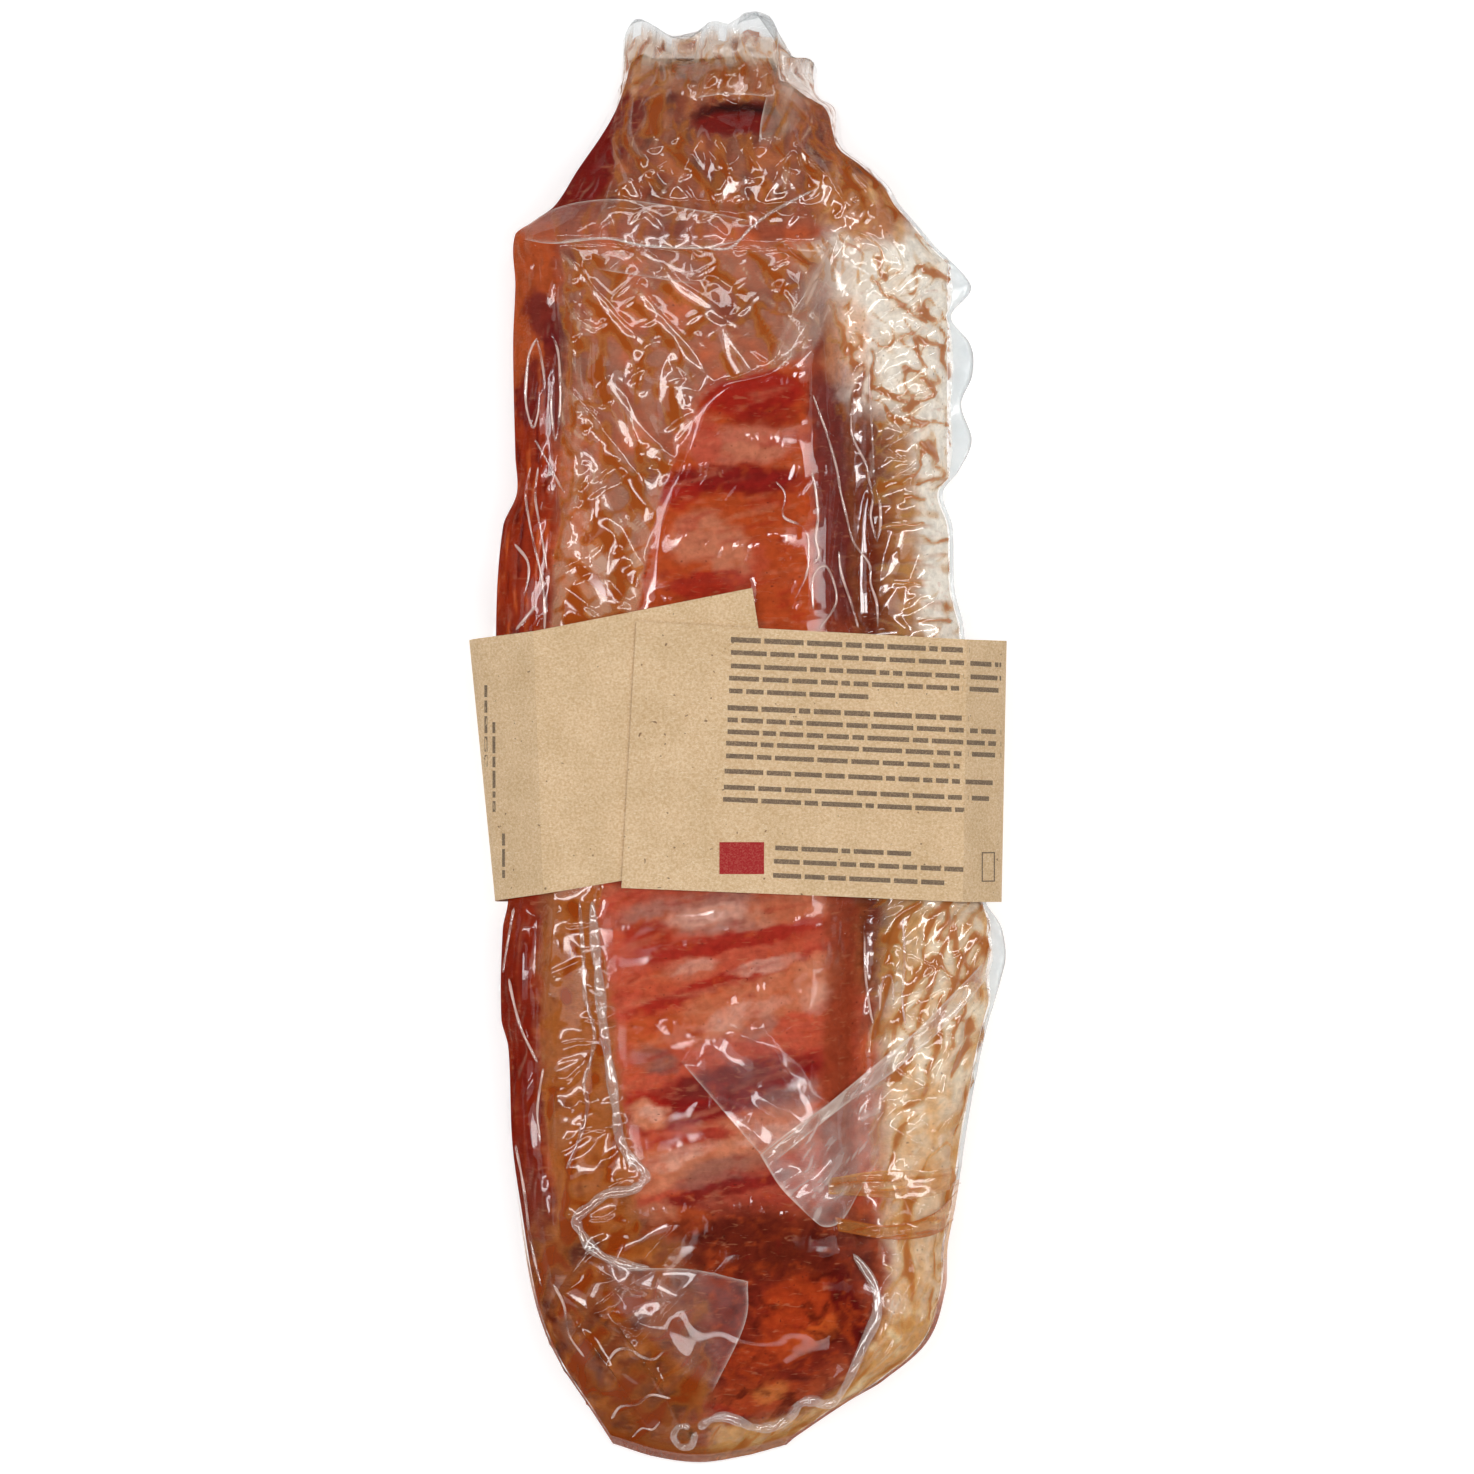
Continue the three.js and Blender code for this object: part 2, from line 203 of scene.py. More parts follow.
def blot(x, y, middle_x, middle_y, half_length, half_width, turn):
    """1 inside a turned ellipse and 0 well outside it."""
    cos, sin = math.cos(math.radians(turn)), math.sin(math.radians(turn))
    dx, dy = x - middle_x, y - middle_y
    along, across = (dx * cos + dy * sin) / half_length, (dy * cos - dx * sin) / half_width
    return 1 - smoothstep(np.hypot(along, across), 0.72, 1.25)


# ---- the form of the bag

left_side, right_side = through(LEFT_SIDE), through(RIGHT_SIDE)
foot_edge, head_edge = through(FOOT_EDGE), through(HEAD_EDGE)
fold_edge = through(FOLD_EDGE)
left_valley, right_valley = through(LEFT_VALLEY), through(RIGHT_VALLEY)
neck_line = through(NECK_LINE)


def under_sleeve(x, y):
    """1 where the sleeve lies over the film."""
    start, low, slope = SLEEVE_RISE
    rising = low + slope * (np.maximum(x, start) - start)
    upper_edge = np.where(x < SLEEVE_LEVEL[0], rising, SLEEVE_LEVEL[1])
    return within(y, SLEEVE_FOOT, upper_edge + 1.5, 2.5)


def sides(y):
    """X of the film's two sides, and of the filled body between them."""
    left, right = left_side(y), right_side(y)
    edge = right - FREE_FILM[1] - WIDE_FILM[2] * within(y, WIDE_FILM[0], WIDE_FILM[1], 5)
    scalloped = lerp(edge, SCALLOPS[2], within(y, SCALLOPS[0], SCALLOPS[1], 2))
    return left, right, left + FREE_FILM[0], np.minimum(edge, scalloped)


def seam_height(x, y):
    """Height of the seam, which comes down and ruffles towards the ends."""
    ends = np.minimum(smoothstep(y, FOOT, FOOT + 34), 1 - smoothstep(y, HEAD - 44, HEAD))
    ruffle = 2.2 * np.sin(x / 3) * smoothstep(y, HEAD - 16, HEAD)
    droop = 0.6 * np.sin(y / 5) * within(y, SCALLOPS[0], SCALLOPS[1], 6) * smoothstep(x, 50, 60)
    return lerp(3.6, SEAM_HEIGHT, ends) + ruffle + droop


def crown_height(x, y):
    """Height of the rack, and of the lower roll beside it."""
    rack_side = right_valley(y) - 4
    rack = lerp(CROWN - 3, CROWN, within(y, -165, 120, 18))
    return lerp(rack, ROLL_HEIGHT, smoothstep(x, rack_side - 11, rack_side + 6))


def ribs(x, y):
    """Low waves over the ribs, which lie 27 mm apart."""
    tilt = lerp(0.3, 0.04, smoothstep(y, -60, 30))
    rack = within(x, fold_edge(y) + 3, right_valley(y) - 14, 9) * within(y, -124, 118, 12)
    return 0.4 * np.cos(2 * np.pi * (y - tilt * x) / 27) * rack


def folds(x, y):
    """The folded layer on the left, the collar, the pleated neck, and the lip and mouth of its hood."""
    layer = within(x, left_valley(y) + 2, fold_edge(y), 3.2) * within(y, -132, 132, 4)
    collar = within(y, 132.5 - 0.02 * x, 142.5 - 0.04 * x, 1.6) * within(x, -57, 24, 4)
    lip = bump(x + 1, 19) * bump(y - 177, 4)
    mouth = bump(x + 1, 11) * bump(y - 168.5, 4)
    pleats = crest((x - 0.5 * y) / 13) * within(y, 144, 176, 6)
    return 1.2 * layer + 2 * collar + 1.5 * pleats + 3.2 * lip - 6.5 * mouth


def gathers(x, y):
    """The valleys beside the rack, and the gathered film of the roll."""
    right = bump(x - right_valley(y), 5) * within(y, -136, 122, 18)
    left = bump(x - left_valley(y), 3) * within(y, -125, 118, 8)
    bunch = crest((y + 0.55 * x) / 16.5) * within(y, -160, -52, 6) * smoothstep(x, 36, 46)
    crinkle = crest((y - 0.6 * x) / 9) * within(y, 66, 128, 6) * smoothstep(x, 30, 40)
    return 1.8 * bunch + 1.2 * crinkle - 5 * right - 3 * left


def foot_folds(x, y):
    """The folds round the muscle at the rounded end."""
    flap = within(y - 0.3 * x, -160, -137, 9) * within(x, -36, -6, 9)
    loop = bump(np.hypot(x + 36, y + 126) - 10, 5) * smoothstep(-x, 30, 36)
    bead = bump(np.hypot(x - 4, y + 151) - 34, 5) * smoothstep(x - y, 168, 184)
    creases = crest((x + 0.7 * y) / 11) ** 2 * within(x, -52, -14, 8) * within(y, -190, -158, 8)
    return 1.0 * flap + 1.0 * loop + 0.6 * bead + 1.6 * creases


def lumps(x, y):
    """The uneven muscle at the rounded end."""
    meat = within(x, -14 - 0.2 * (y + 140), right_valley(y) - 3, 6) * within(y, -184, -134, 12)
    return 0.7 * cloud(x / 17, y / 15, 61, 2) * meat


def lobes(x, y):
    """True on the clear scalloped film beside the body."""
    return (x > SCALLOPS[2] + 0.4) & (y > SCALLOPS[0] - 2) & (y < SCALLOPS[1] + 2)


def upper_side(x, y, body_left, body_right):
    """Height of the bag's upper side."""
    seam = seam_height(x, y) + FILM_EDGE / 2
    ends = swell(y - FOOT - FOOT_MARGIN, 34) * swell(HEAD - HEAD_MARGIN - y, 46)
    full = swell(x - body_left, 23) * swell(body_right - x, 15) * ends
    relief = (ribs(x, y) + folds(x, y) + gathers(x, y) + foot_folds(x, y) + lumps(x, y)) * full
    pressed = relief * lerp(1, 0.25, under_sleeve(x, y))
    height = seam + np.maximum(crown_height(x, y) - seam, 0) * full + pressed
    return np.minimum(height, lerp(CROWN + 3, 34.4, under_sleeve(x, y)))


def lower_side(x, y, body_left, body_right):
    """Height of its lower side, on the table or on the sleeve."""
    seam = seam_height(x, y) - FILM_EDGE / 2
    ends = swell(y - FOOT - FOOT_MARGIN, 20) * swell(HEAD - HEAD_MARGIN - y, 30)
    full = swell(x - body_left, 18) * swell(body_right - x, 18) * ends
    return np.maximum(seam * (1 - full), 0.8 * within(y, -48.6, 29.9, 1.5))


def bend(x, row):
    """How far a row bends along the pack near its ends, to follow their edges."""
    to_foot = 1 - smoothstep(row, FOOT, FOOT + EDGE_BLEND)
    to_head = smoothstep(row, HEAD - EDGE_BLEND, HEAD)
    return (foot_edge(x) - FOOT) * to_foot + (head_edge(x) - HEAD) * to_head


def bag_rows():
    low, high, step = HIDDEN_ROWS
    start, stop = FOOT + FOOT_MARGIN, HEAD - HEAD_MARGIN
    below = np.linspace(start, low, round((low - start) / ROW_STEP), endpoint=False)
    hidden = np.linspace(low, high, round((high - low) / step), endpoint=False)
    above = np.linspace(high, stop, round((stop - high) / ROW_STEP) + 1)
    return np.concatenate([[FOOT], below, hidden, above, [HEAD]])


def top_columns(left, right, body_left, body_right):
    """X of the points over the top, from left to right, closer together near the sides."""
    t = np.linspace(0, 1, TOP_STEPS + 1)
    margin = np.linspace(0, 1, MARGIN_STEPS, endpoint=False)
    return np.hstack([
        lerp(left, body_left, margin), lerp(body_left, body_right, t - 0.06 * np.sin(2 * np.pi * t)),
        lerp(right, body_right, margin)[:, ::-1],
    ])


def low_columns(left, right, body_left, body_right):
    """X of the points back below, from right to left."""
    margin = np.linspace(0, 1, MARGIN_STEPS, endpoint=False)
    flank = FLANK_SHARE * np.linspace(0, 1, FLANK_STEPS, endpoint=False) ** 1.4
    sole = np.linspace(FLANK_SHARE, 1 - FLANK_SHARE, SOLE_STEPS)
    return np.hstack([
        lerp(right, body_right, margin)[:, 1:],
        lerp(body_right, body_left, np.concatenate([flank, sole, 1 - flank[::-1]])),
        lerp(left, body_left, margin)[:, :0:-1],
    ])


class BagGrid:
    """The bag's smooth form as rings of points, each over the top from left to right and back below."""

    def __init__(self):
        rows = bag_rows()[:, None]
        limits = sides(rows)
        top, low = top_columns(*limits), low_columns(*limits)
        self.x = np.hstack([top, low])
        self.row = np.broadcast_to(rows, self.x.shape)
        self.is_top = np.arange(self.x.shape[1]) < top.shape[1]
        self.body = self._body_columns(top.shape[1], low.shape[1])
        self.z = np.hstack([upper_side(top, rows, *limits[2:]), lower_side(low, rows, *limits[2:])])
        self.y = self.row + bend(self.x, self.row)
        self.points = np.stack([self.x, self.y, self.z], axis=2)
        self.normals = self._normals()
        self.s = self._arc_lengths(top.shape[1] // 2)

    def _body_columns(self, top, low):
        """True for the columns on the filled body, and False for those on the free film."""
        column = np.arange(top + low)
        on_top = (column >= MARGIN_STEPS) & (column < top - MARGIN_STEPS)
        on_low = (column >= top + MARGIN_STEPS - 1) & (column < top + low - MARGIN_STEPS + 1)
        return on_top | on_low

    def _normals(self):
        along = np.gradient(self.points, axis=0)
        across = np.roll(self.points, -1, axis=1) - np.roll(self.points, 1, axis=1)
        normal = np.cross(across, along)
        return normal / np.maximum(np.linalg.norm(normal, axis=2, keepdims=True), 1e-9)

    def _arc_lengths(self, middle):
        """Millimetres round the ring from the middle of the top."""
        step = np.diff(self.points, axis=1, prepend=self.points[:, :1])
        length = np.cumsum(np.linalg.norm(step, axis=2), axis=1)
        return length - length[:, middle:middle + 1]


# ---- meshes


def mesh_object(name, points, faces):
    """An object from points in millimetres and faces of point numbers."""
    mesh = bpy.data.meshes.new(name)
    mesh.from_pydata((np.asarray(points).reshape(-1, 3) * MM).tolist(), [], faces)
    mesh.validate()
    mesh.shade_smooth()
    piece = bpy.data.objects.new(name, mesh)
    bpy.context.scene.collection.objects.link(piece)
    return piece


def cap_faces(ring, first_low):
    """Faces across a flat end, between its upper points and the lower ones that run back below them."""
    over, back = list(ring[:first_low]), list(ring[first_low:][::-1])
    faces = []
    for i in range(len(over) - 1):
        low, high = (round(k * (len(back) - 1) / (len(over) - 1)) for k in (i, i + 1))
        corners = [over[i], over[i + 1], back[high]] + ([back[low]] if low < high else [])
        faces.append(corners)
    return faces


def ring_faces(rows, size):
    """Quads between rings of points, and a cap at each end."""
    i, k = np.meshgrid(np.arange(rows - 1), np.arange(size), indexing="ij")
    a, b = i * size + k, i * size + (k + 1) % size
    quads = np.stack([a, b, b + size, a + size], axis=2).reshape(-1, 4).tolist()
    end = (rows - 1) * size
    return quads + [list(range(size))[::-1], list(range(end, end + size))]


def colour_attribute(piece, name, colours):
    layer = piece.data.color_attributes.new(name, "FLOAT_COLOR", "POINT")
    rgba = np.ones((len(piece.data.vertices), 4), np.float32)
    rgba[:, :3] = colours.reshape(-1, 3)
    layer.data.foreach_set("color", rgba.ravel())


def number_attribute(piece, name, values):
    layer = piece.data.attributes.new(name, "FLOAT", "POINT")
    layer.data.foreach_set("value", np.asarray(values, np.float32).ravel())


# ---- material nodes


class Nodes:
    """A new material's node tree, with short ways to add and join nodes."""

    def __init__(self, name):
        self.material = bpy.data.materials.new(name)
        self.material.use_nodes = True
        self.tree = self.material.node_tree
        self.tree.nodes.clear()
        self.output = self.tree.nodes.new("ShaderNodeOutputMaterial")

    def add(self, kind, inputs=None, **settings):
        node = self.tree.nodes.new("ShaderNode" + kind)
        for key, value in settings.items():
            setattr(node, key, value)
        for key, value in (inputs or {}).items():
            self.put(node.inputs[key], value)
        return node

    def put(self, socket, value):
        if isinstance(value, bpy.types.NodeSocket):
            self.tree.links.new(value, socket)
        elif isinstance(value, bpy.types.Node):
            self.tree.links.new(value.outputs[0], socket)
        elif socket.type == "RGBA":
            socket.default_value = (*value, 1.0)
        else:
            socket.default_value = value

    def attribute(self, name, output="Fac"):
        return self.add("Attribute", attribute_name=name).outputs[output]

    def where(self, scale=(1, 1, 1), turn=0.0):
        """Object coordinates in metres, scaled and turned about Z."""
        place = self.add("TexCoord").outputs["Object"]
        return self.add("Mapping", {"Vector": place, "Rotation": (0, 0, turn), "Scale": scale})

    def noise(self, scale, vector=None, detail=3.0, rough=0.5, distortion=0.0):
        inputs = {"Vector": vector or self.where(), "Scale": scale, "Detail": detail,
                  "Roughness": rough, "Distortion": distortion}
        return self.add("TexNoise", inputs).outputs["Fac"]

    def math(self, operation, a, b=0.0, clamp=False):
        return self.add("Math", {0: a, 1: b}, operation=operation, use_clamp=clamp).outputs[0]

    def ramp(self, value, low, high, to_low=0.0, to_high=1.0):
        inputs = {"Value": value, "From Min": low, "From Max": high, "To Min": to_low, "To Max": to_high}
        return self.add("MapRange", inputs, clamp=True, interpolation_type="SMOOTHSTEP").outputs[0]

    def mix(self, share, a, b, blend="MIX"):
        node = self.add("Mix", data_type="RGBA", blend_type=blend)
        self.put(node.inputs["Factor"], share)
        self.put(node.inputs[6], a)
        self.put(node.inputs[7], b)
        return node.outputs[2]

    def mix_shader(self, share, a, b):
        node = self.add("MixShader")
        self.put(node.inputs[0], share)
        self.put(node.inputs[1], a.outputs[0])
        self.put(node.inputs[2], b.outputs[0])
        return node

    def bump(self, height, distance, strength=1.0):
        return self.add("Bump", {"Height": height, "Distance": distance, "Strength": strength})

    def finish(self, shader):
        self.tree.links.new(shader.outputs[0], self.output.inputs["Surface"])
        return self.material


# ---- contents: colours, in the eight-bit numbers of a screen

FLESH = (205, 130, 98)
PINK = (196, 112, 88)
SALMON = (190, 84, 62)
ORANGE = (184, 78, 36)
BRIGHT_ORANGE = (214, 98, 40)
RED = (160, 36, 26)
DEEP_RED = (126, 22, 22)
MAROON = (120, 46, 40)
BROWN = (104, 38, 22)
BONE_GREY = (170, 118, 104)
MEMBRANE = (226, 176, 156)
GREY_STREAK = (132, 90, 82)
CREAM = (245, 238, 225)
TAN = (176, 118, 70)
AMBER = (182, 112, 52)
RUST = (150, 62, 34)
HAZED_MEAT = (160, 80, 56)

# Blots of colour on the rack: X, Y, half length, half width, turn in degrees, colour, strength.
RACK_BLOTS = [
    # upper window, from its top
    (4.5, 92, 15, 6, 4, RED, 0.95),
    (8, 86, 9, 4, 0, DEEP_RED, 0.6),
    (0, 78.7, 15, 5.5, 0, PINK, 0.95),
    (3, 77, 9, 2.2, 0, FLESH, 0.6),
    (-9, 80, 4, 8, 10, SALMON, 0.8),
    (-1.5, 69, 20, 4.2, 0, DEEP_RED, 0.95),
    (-16, 65, 6, 3.5, 0, RED, 0.9),
    (2, 60.5, 18, 5, 0, ORANGE, 0.9),
    (8, 63, 6, 2, 0, RED, 0.5),
    (-11, 54, 8, 7, 15, FLESH, 0.85),
    (-14, 57, 4, 3, 0, SALMON, 0.6),
    (9, 52, 9, 9, 0, ORANGE, 0.85),
    (-1.5, 48, 5.5, 8, 5, FLESH, 0.9),
    (5, 47, 3, 6, 0, SALMON, 0.5),
    (-8, 41, 12, 3, 10, RED, 0.8),
    (12, 41, 8, 4, 0, ORANGE, 0.6),
    # lower rack, from the sleeve down
    (-6, -47, 26, 5.5, 4, BONE_GREY, 0.9),
    (-22, -52, 8, 4, 30, ORANGE, 0.7),
    (14, -46, 14, 4, 8, FLESH, 0.7),
    (-4.3, -55.5, 28, 2.6, 11, RED, 0.85),
    (-24, -54, 7, 4.5, 20, RED, 0.7),
    (2, -60, 22, 3, 14, SALMON, 0.8),
    (10, -62, 11, 2.6, 12, FLESH, 0.85),
    (-14, -63, 8, 3, 12, PINK, 0.8),
    (-4.3, -66, 28, 2.2, 19, RED, 0.85),
    (0, -73, 30, 6, 18, FLESH, 0.9),
    (20, -66, 10, 5, 40, FLESH, 0.8),
    (-20, -79, 12, 5.5, 5, ORANGE, 0.8),
    (-22, -87, 6.5, 3.4, -25, GREY_STREAK, 0.95),
    (6, -78, 5, 3.2, 30, BONE_GREY, 0.8),
    (-2.5, -95, 30, 6.6, 16, DEEP_RED, 0.97),
    (-4, -92.5, 12, 4, 16, MAROON, 0.8),
    (-26, -98, 7, 3, 0, RED, 0.8),
    (-24, -101.5, 5.5, 3.6, -10, FLESH, 0.95),
    (13.6, -97, 10, 4.4, 15, GREY_STREAK, 0.75),
    (-2.5, -110, 30, 7, 16, FLESH, 0.9),
    (-13, -108.5, 13, 2.6, 12, RED, 0.85),
    (-4.3, -117.4, 14, 4, 15, GREY_STREAK, 0.7),
    (-23, -117, 7, 5, 60, FLESH, 0.8),
    (-4.3, -122, 22, 2.2, 15, DEEP_RED, 0.85),
    (24, -104, 6, 6, 0, ORANGE, 0.8),
    (-9, -48, 11, 2.6, 8, MEMBRANE, 0.6),
    (8, -61, 10, 2.0, 14, MEMBRANE, 0.6),
    (-12, -62, 6, 1.6, 20, MEMBRANE, 0.5),
    (2, -74, 13, 2.6, 20, MEMBRANE, 0.6),
    (21, -70, 5, 4, 30, MEMBRANE, 0.4),
    (-16, -113, 11, 2.6, 18, MEMBRANE, 0.6),
    (9, -107, 10, 2.4, 16, MEMBRANE, 0.55),
    (-23, -101, 3.4, 2.2, 0, MEMBRANE, 0.6),
    # the muscle end
    (2, -152, 36, 28, 0, (122, 38, 24), 0.97),
    (-2, -137, 22, 8, 5, BROWN, 0.75),
    (16, -140, 9, 7, 0, BROWN, 0.6),
    (-16.4, -131, 10, 4, 15, ORANGE, 0.75),
    (-22, -128, 5, 3, 10, FLESH, 0.6),
    (17, -153, 11, 8, 20, (176, 62, 26), 0.75),
    (20.7, -161, 12, 3, 28, BRIGHT_ORANGE, 0.55),
    (9.3, -165, 13, 4, 18, (178, 66, 30), 0.7),
    (5, -178, 12, 5, 8, (176, 70, 34), 0.75),
    (9, -177, 5, 2.6, 20, (212, 126, 66), 0.6),
    (-6, -184, 8, 4, 0, RED, 0.6),
    (30, -154, 4, 14, 16, (96, 16, 14), 0.85),
]


def mouth(x, y):
    """The opening below the hood of film; paint_head makes it deep red, with painted shadow at its top."""
    return blot(x, y, -0.8, 167.2, 12.5, 5, 3)


FOOT_CORNER = (-34, -162, 27, 36, 20)   # the folded film at the foot's left, as an ellipse and its turn
FOOT_HOLE = (-14, -188.9)               # the hole in the small rolled ring, painted near black as the shade inside it


def foot_rim(x, y):
    """The gathered film round the muscle at the foot."""
    return smoothstep(np.hypot(x - 2, y + 148), 36, 40) * smoothstep(-y, 150, 160) * smoothstep(x, -10, -4)


def on_rack(wx, y, on_top):
    """1 on the bare side of the rack, between the folded layer and the right valley."""
    return within(wx, fold_edge(y) - 2, right_valley(y) - 1, 1.5) * on_top


def contents_colours(grid):
    """The colour of the meat, fat and marinade at each point of the bag's form."""
    x, y, s = grid.x, grid.y, grid.s
    on_top = grid.is_top[None, :] & (grid.z > seam_height(x, grid.row) - 1)
    wx = x + 2.2 * cloud(s / 11, y / 9, 11) + 0.9 * noise(s / 2.8, y / 2.0, 12)
    wy = y + 2.0 * cloud(s / 12, y / 9, 13, 4) + 0.9 * noise(s / 3.4, y / 1.8, 14)
    mottle = cloud(s / 17, y / 21, 15, 3)
    colours = filled(x.shape, HAZED_MEAT)
    paint(
        colours,
        (smoothstep(mottle, 0.0, 0.4), (196, 92, 52)),
        (smoothstep(-mottle, 0.05, 0.4) * 0.9, (128, 52, 36)),
    )
    paint_rack(colours, x, y, wx, wy, s, on_top, mottle)
    paint_muscle(colours, x, y, wx, wy, on_top)
    paint_juices(colours, y, wx, s, on_top)
    paint_left_side(colours, wx, wy, s)
    for paint_part in (paint_right_side, paint_head, paint_foot):
        paint_part(colours, x, y, wx, wy, s, on_top)
    return np.clip(colours, 0.0, 1.0)


def paint_rack(colours, x, y, wx, wy, s, on_top, mottle):
    """The ribs and the meat between them; wx and wy are a place with ragged edges."""
    rack = on_rack(wx, y, on_top)
    window, lower = rack * within(wy, 20, 100, 2), rack * within(wy, -126, -20, 2)
    paint(colours, (window, ORANGE), (lower, SALMON))
    for *ellipse, colour, strength in RACK_BLOTS:
        paint(colours, (blot(wx, wy, *ellipse) * strength * on_top, colour))
    pale = lower * smoothstep(colours[..., 1], 0.05, 0.12)
    streaks = cloud(s / 12 + 0.8 * noise(s / 20, y / 10, 17), (y - 0.2 * x) / 3.6, 16)
    ribbed = rack * within(wy, -126, 100, 3)
    paint(
        colours,
        (pale * (0.1 + 0.45 * smoothstep(mottle, -0.1, 0.4)), ORANGE),
        (window * 0.14, RED),
        (ribbed * smoothstep(streaks, 0.12, 0.5) * 0.4, RED),
        (ribbed * smoothstep(-streaks, 0.12, 0.5) * 0.3, FLESH),
    )


def paint_muscle(colours, x, y, wx, wy, on_top):
    """The dark uneven muscle at the rounded end."""
    swirl_x, swirl_y = 0.7 * noise(x / 6, y / 6, 20), 0.7 * noise(x / 6, y / 6, 22)
    clots = cloud(wx / 9 + swirl_x, wy / 6 + swirl_y, 18, 5)
    muscle = within(wx, -30, right_valley(y), 3) * (1 - smoothstep(wy, -132, -126)) * on_top
    paint(
        colours,
        (muscle * smoothstep(clots, 0.0, 0.45) * 0.6, (176, 66, 26)),
        (muscle * smoothstep(-clots, 0.0, 0.45) * 0.8, (78, 20, 12)),
        (muscle * within(wy, -147, -128, 4) * 0.35, (86, 26, 16)),
    )


def paint_juices(colours, y, wx, s, on_top):
    """Drops of marinade on the rack, and the dark juice in the valley beside it."""
    rack = on_rack(wx, y, on_top)
    drops = cloud(s / 4.5, y / 3.2, 19)
    rim = within(wx, right_valley(y) - 11, right_valley(y) - 2, 2) * within(y, -126, 100, 4)
    maroon = within(wx, right_valley(y) - 12, right_valley(y) + 3, 2) * within(y, 32, 98, 5) * on_top
    paint(
        colours,
        (rack * smoothstep(drops, 0.2, 0.5) * 0.4, ORANGE),
        (rack * smoothstep(-drops, 0.3, 0.6) * 0.4, DEEP_RED),
        (rim * on_top * 0.8, RUST),
        (maroon * 0.95, MAROON),
    )


def paint_left_side(colours, wx, wy, s):
    """The wet left side, where the film clings to the meat."""
    side = 1 - smoothstep(wx, left_valley(wy) - 2, left_valley(wy) + 1.5)
    streaks = cloud(s / 3.2, wy / 16, 21)
    paint(
        colours,
        (side, (150, 46, 20)),
        (side * smoothstep(streaks, 0.1, 0.5), (192, 82, 36)),
        (side * smoothstep(-streaks, 0.1, 0.5), (104, 18, 10)),
        (side * within(wy, 92, 150, 8) * 0.8, (182, 84, 42)),
        (blot(wx, wy, -52, 112, 9, 4.5, -60) * 0.8, (104, 30, 34)),
        (blot(wx, wy, -50, 97, 15, 2.6, 92) * 0.8, (108, 28, 30)),
        (blot(wx, wy, -57, 93, 9, 3.4, 84) * 0.85, (112, 24, 24)),
        (side * smoothstep(-wy, 40, 60) * 0.7, (120, 24, 12)),
        (side * smoothstep(-wy, 108, 124) * 0.6, (122, 50, 36)),
    )


def paint_right_side(colours, x, y, wx, wy, s, on_top):
    """The pale roll, with painted shadow beside the rack and on its underside, and the marinade that has run
    over it.
    """
    start = right_valley(y) + lerp(1, -6, smoothstep(wy, 80, 92))
    roll = smoothstep(wx, start, start + 8) * within(y, -170, 140, 6)
    lower = roll * within(y, -170, -44, 4)
    stripes = smoothstep(cloud(s / 22, y / 4.2, 31), 0.12, 0.42) * within(y, 34, 72, 5) * roll
    # painted shade: darker tan patches over the roll's underside
    below = (1 - on_top) * smoothstep(x, 30, 40)
    shadows = [
        (within(wx, right_valley(y) - 1, right_valley(y) + reach, 3) * within(y, -66, 86, 8), colour)
        for reach, colour in ((15, TAN), (9, (142, 74, 36)), (4, (116, 42, 22)))
    ]
    paint(
        colours,
        (roll, CREAM),
        *shadows,
        (stripes * 0.75, AMBER),
        (smoothstep(cloud(s / 9, y / 9, 32), 0.0, 0.6) * roll * 0.3, (232, 190, 138)),
        (blot(wx, wy, 29, 107, 6, 12, 0) * 0.4, (226, 160, 110)),
        (lower * 0.45, (240, 210, 158)),
        (lower * (1 - smoothstep(y, -112, -86)) * 0.45, (198, 140, 78)),
        (lower * smoothstep(cloud(s / 9, y / 9, 33), -0.2, 0.35) * 0.7, (220, 162, 94)),
        (below * smoothstep(cloud(s / 8, y / 8, 34), -0.2, 0.4) * 0.7, (190, 130, 84)),
    )


def paint_head(colours, x, y, wx, wy, s, on_top):
    """The gathered end, with the opening under its hood and a painted shadow under the hood's lip."""
    neck, hood = smoothstep(wy, 138, 146), smoothstep(wy, 172.5, 174.5)
    patches = cloud(s / 8, y / 10, 41)
    left = neck * (1 - smoothstep(wx, left_side(y) + 9, left_side(y) + 12))
    gold = blot(wx, wy, 33, 143, 14, 9, -25)
    # painted shadow: a near-black band at the top of the opening, under the hood's lip
    shade = smoothstep(y + 0.012 * (x + 1) ** 2, 168.4, 171)
    paint(
        colours,
        (neck, (144, 66, 42)),
        (neck * smoothstep(patches, 0.0, 0.4), (184, 98, 52)),
        (neck * smoothstep(-patches, 0.05, 0.4) * 0.9, (98, 30, 22)),
        (left, (122, 26, 20)),
        (gold * 0.9, (186, 112, 58)),
        (gold * smoothstep(patches, 0.0, 0.4), (222, 172, 112)),
        (mouth(wx, wy) * on_top, (132, 24, 14)),
        (mouth(x, y) * shade * on_top, (34, 7, 5)),
        (hood, (168, 92, 58)),
        (hood * smoothstep(patches, -0.1, 0.4), (206, 146, 106)),
        (smoothstep(wy, 182, 187), (226, 200, 172)),
    )


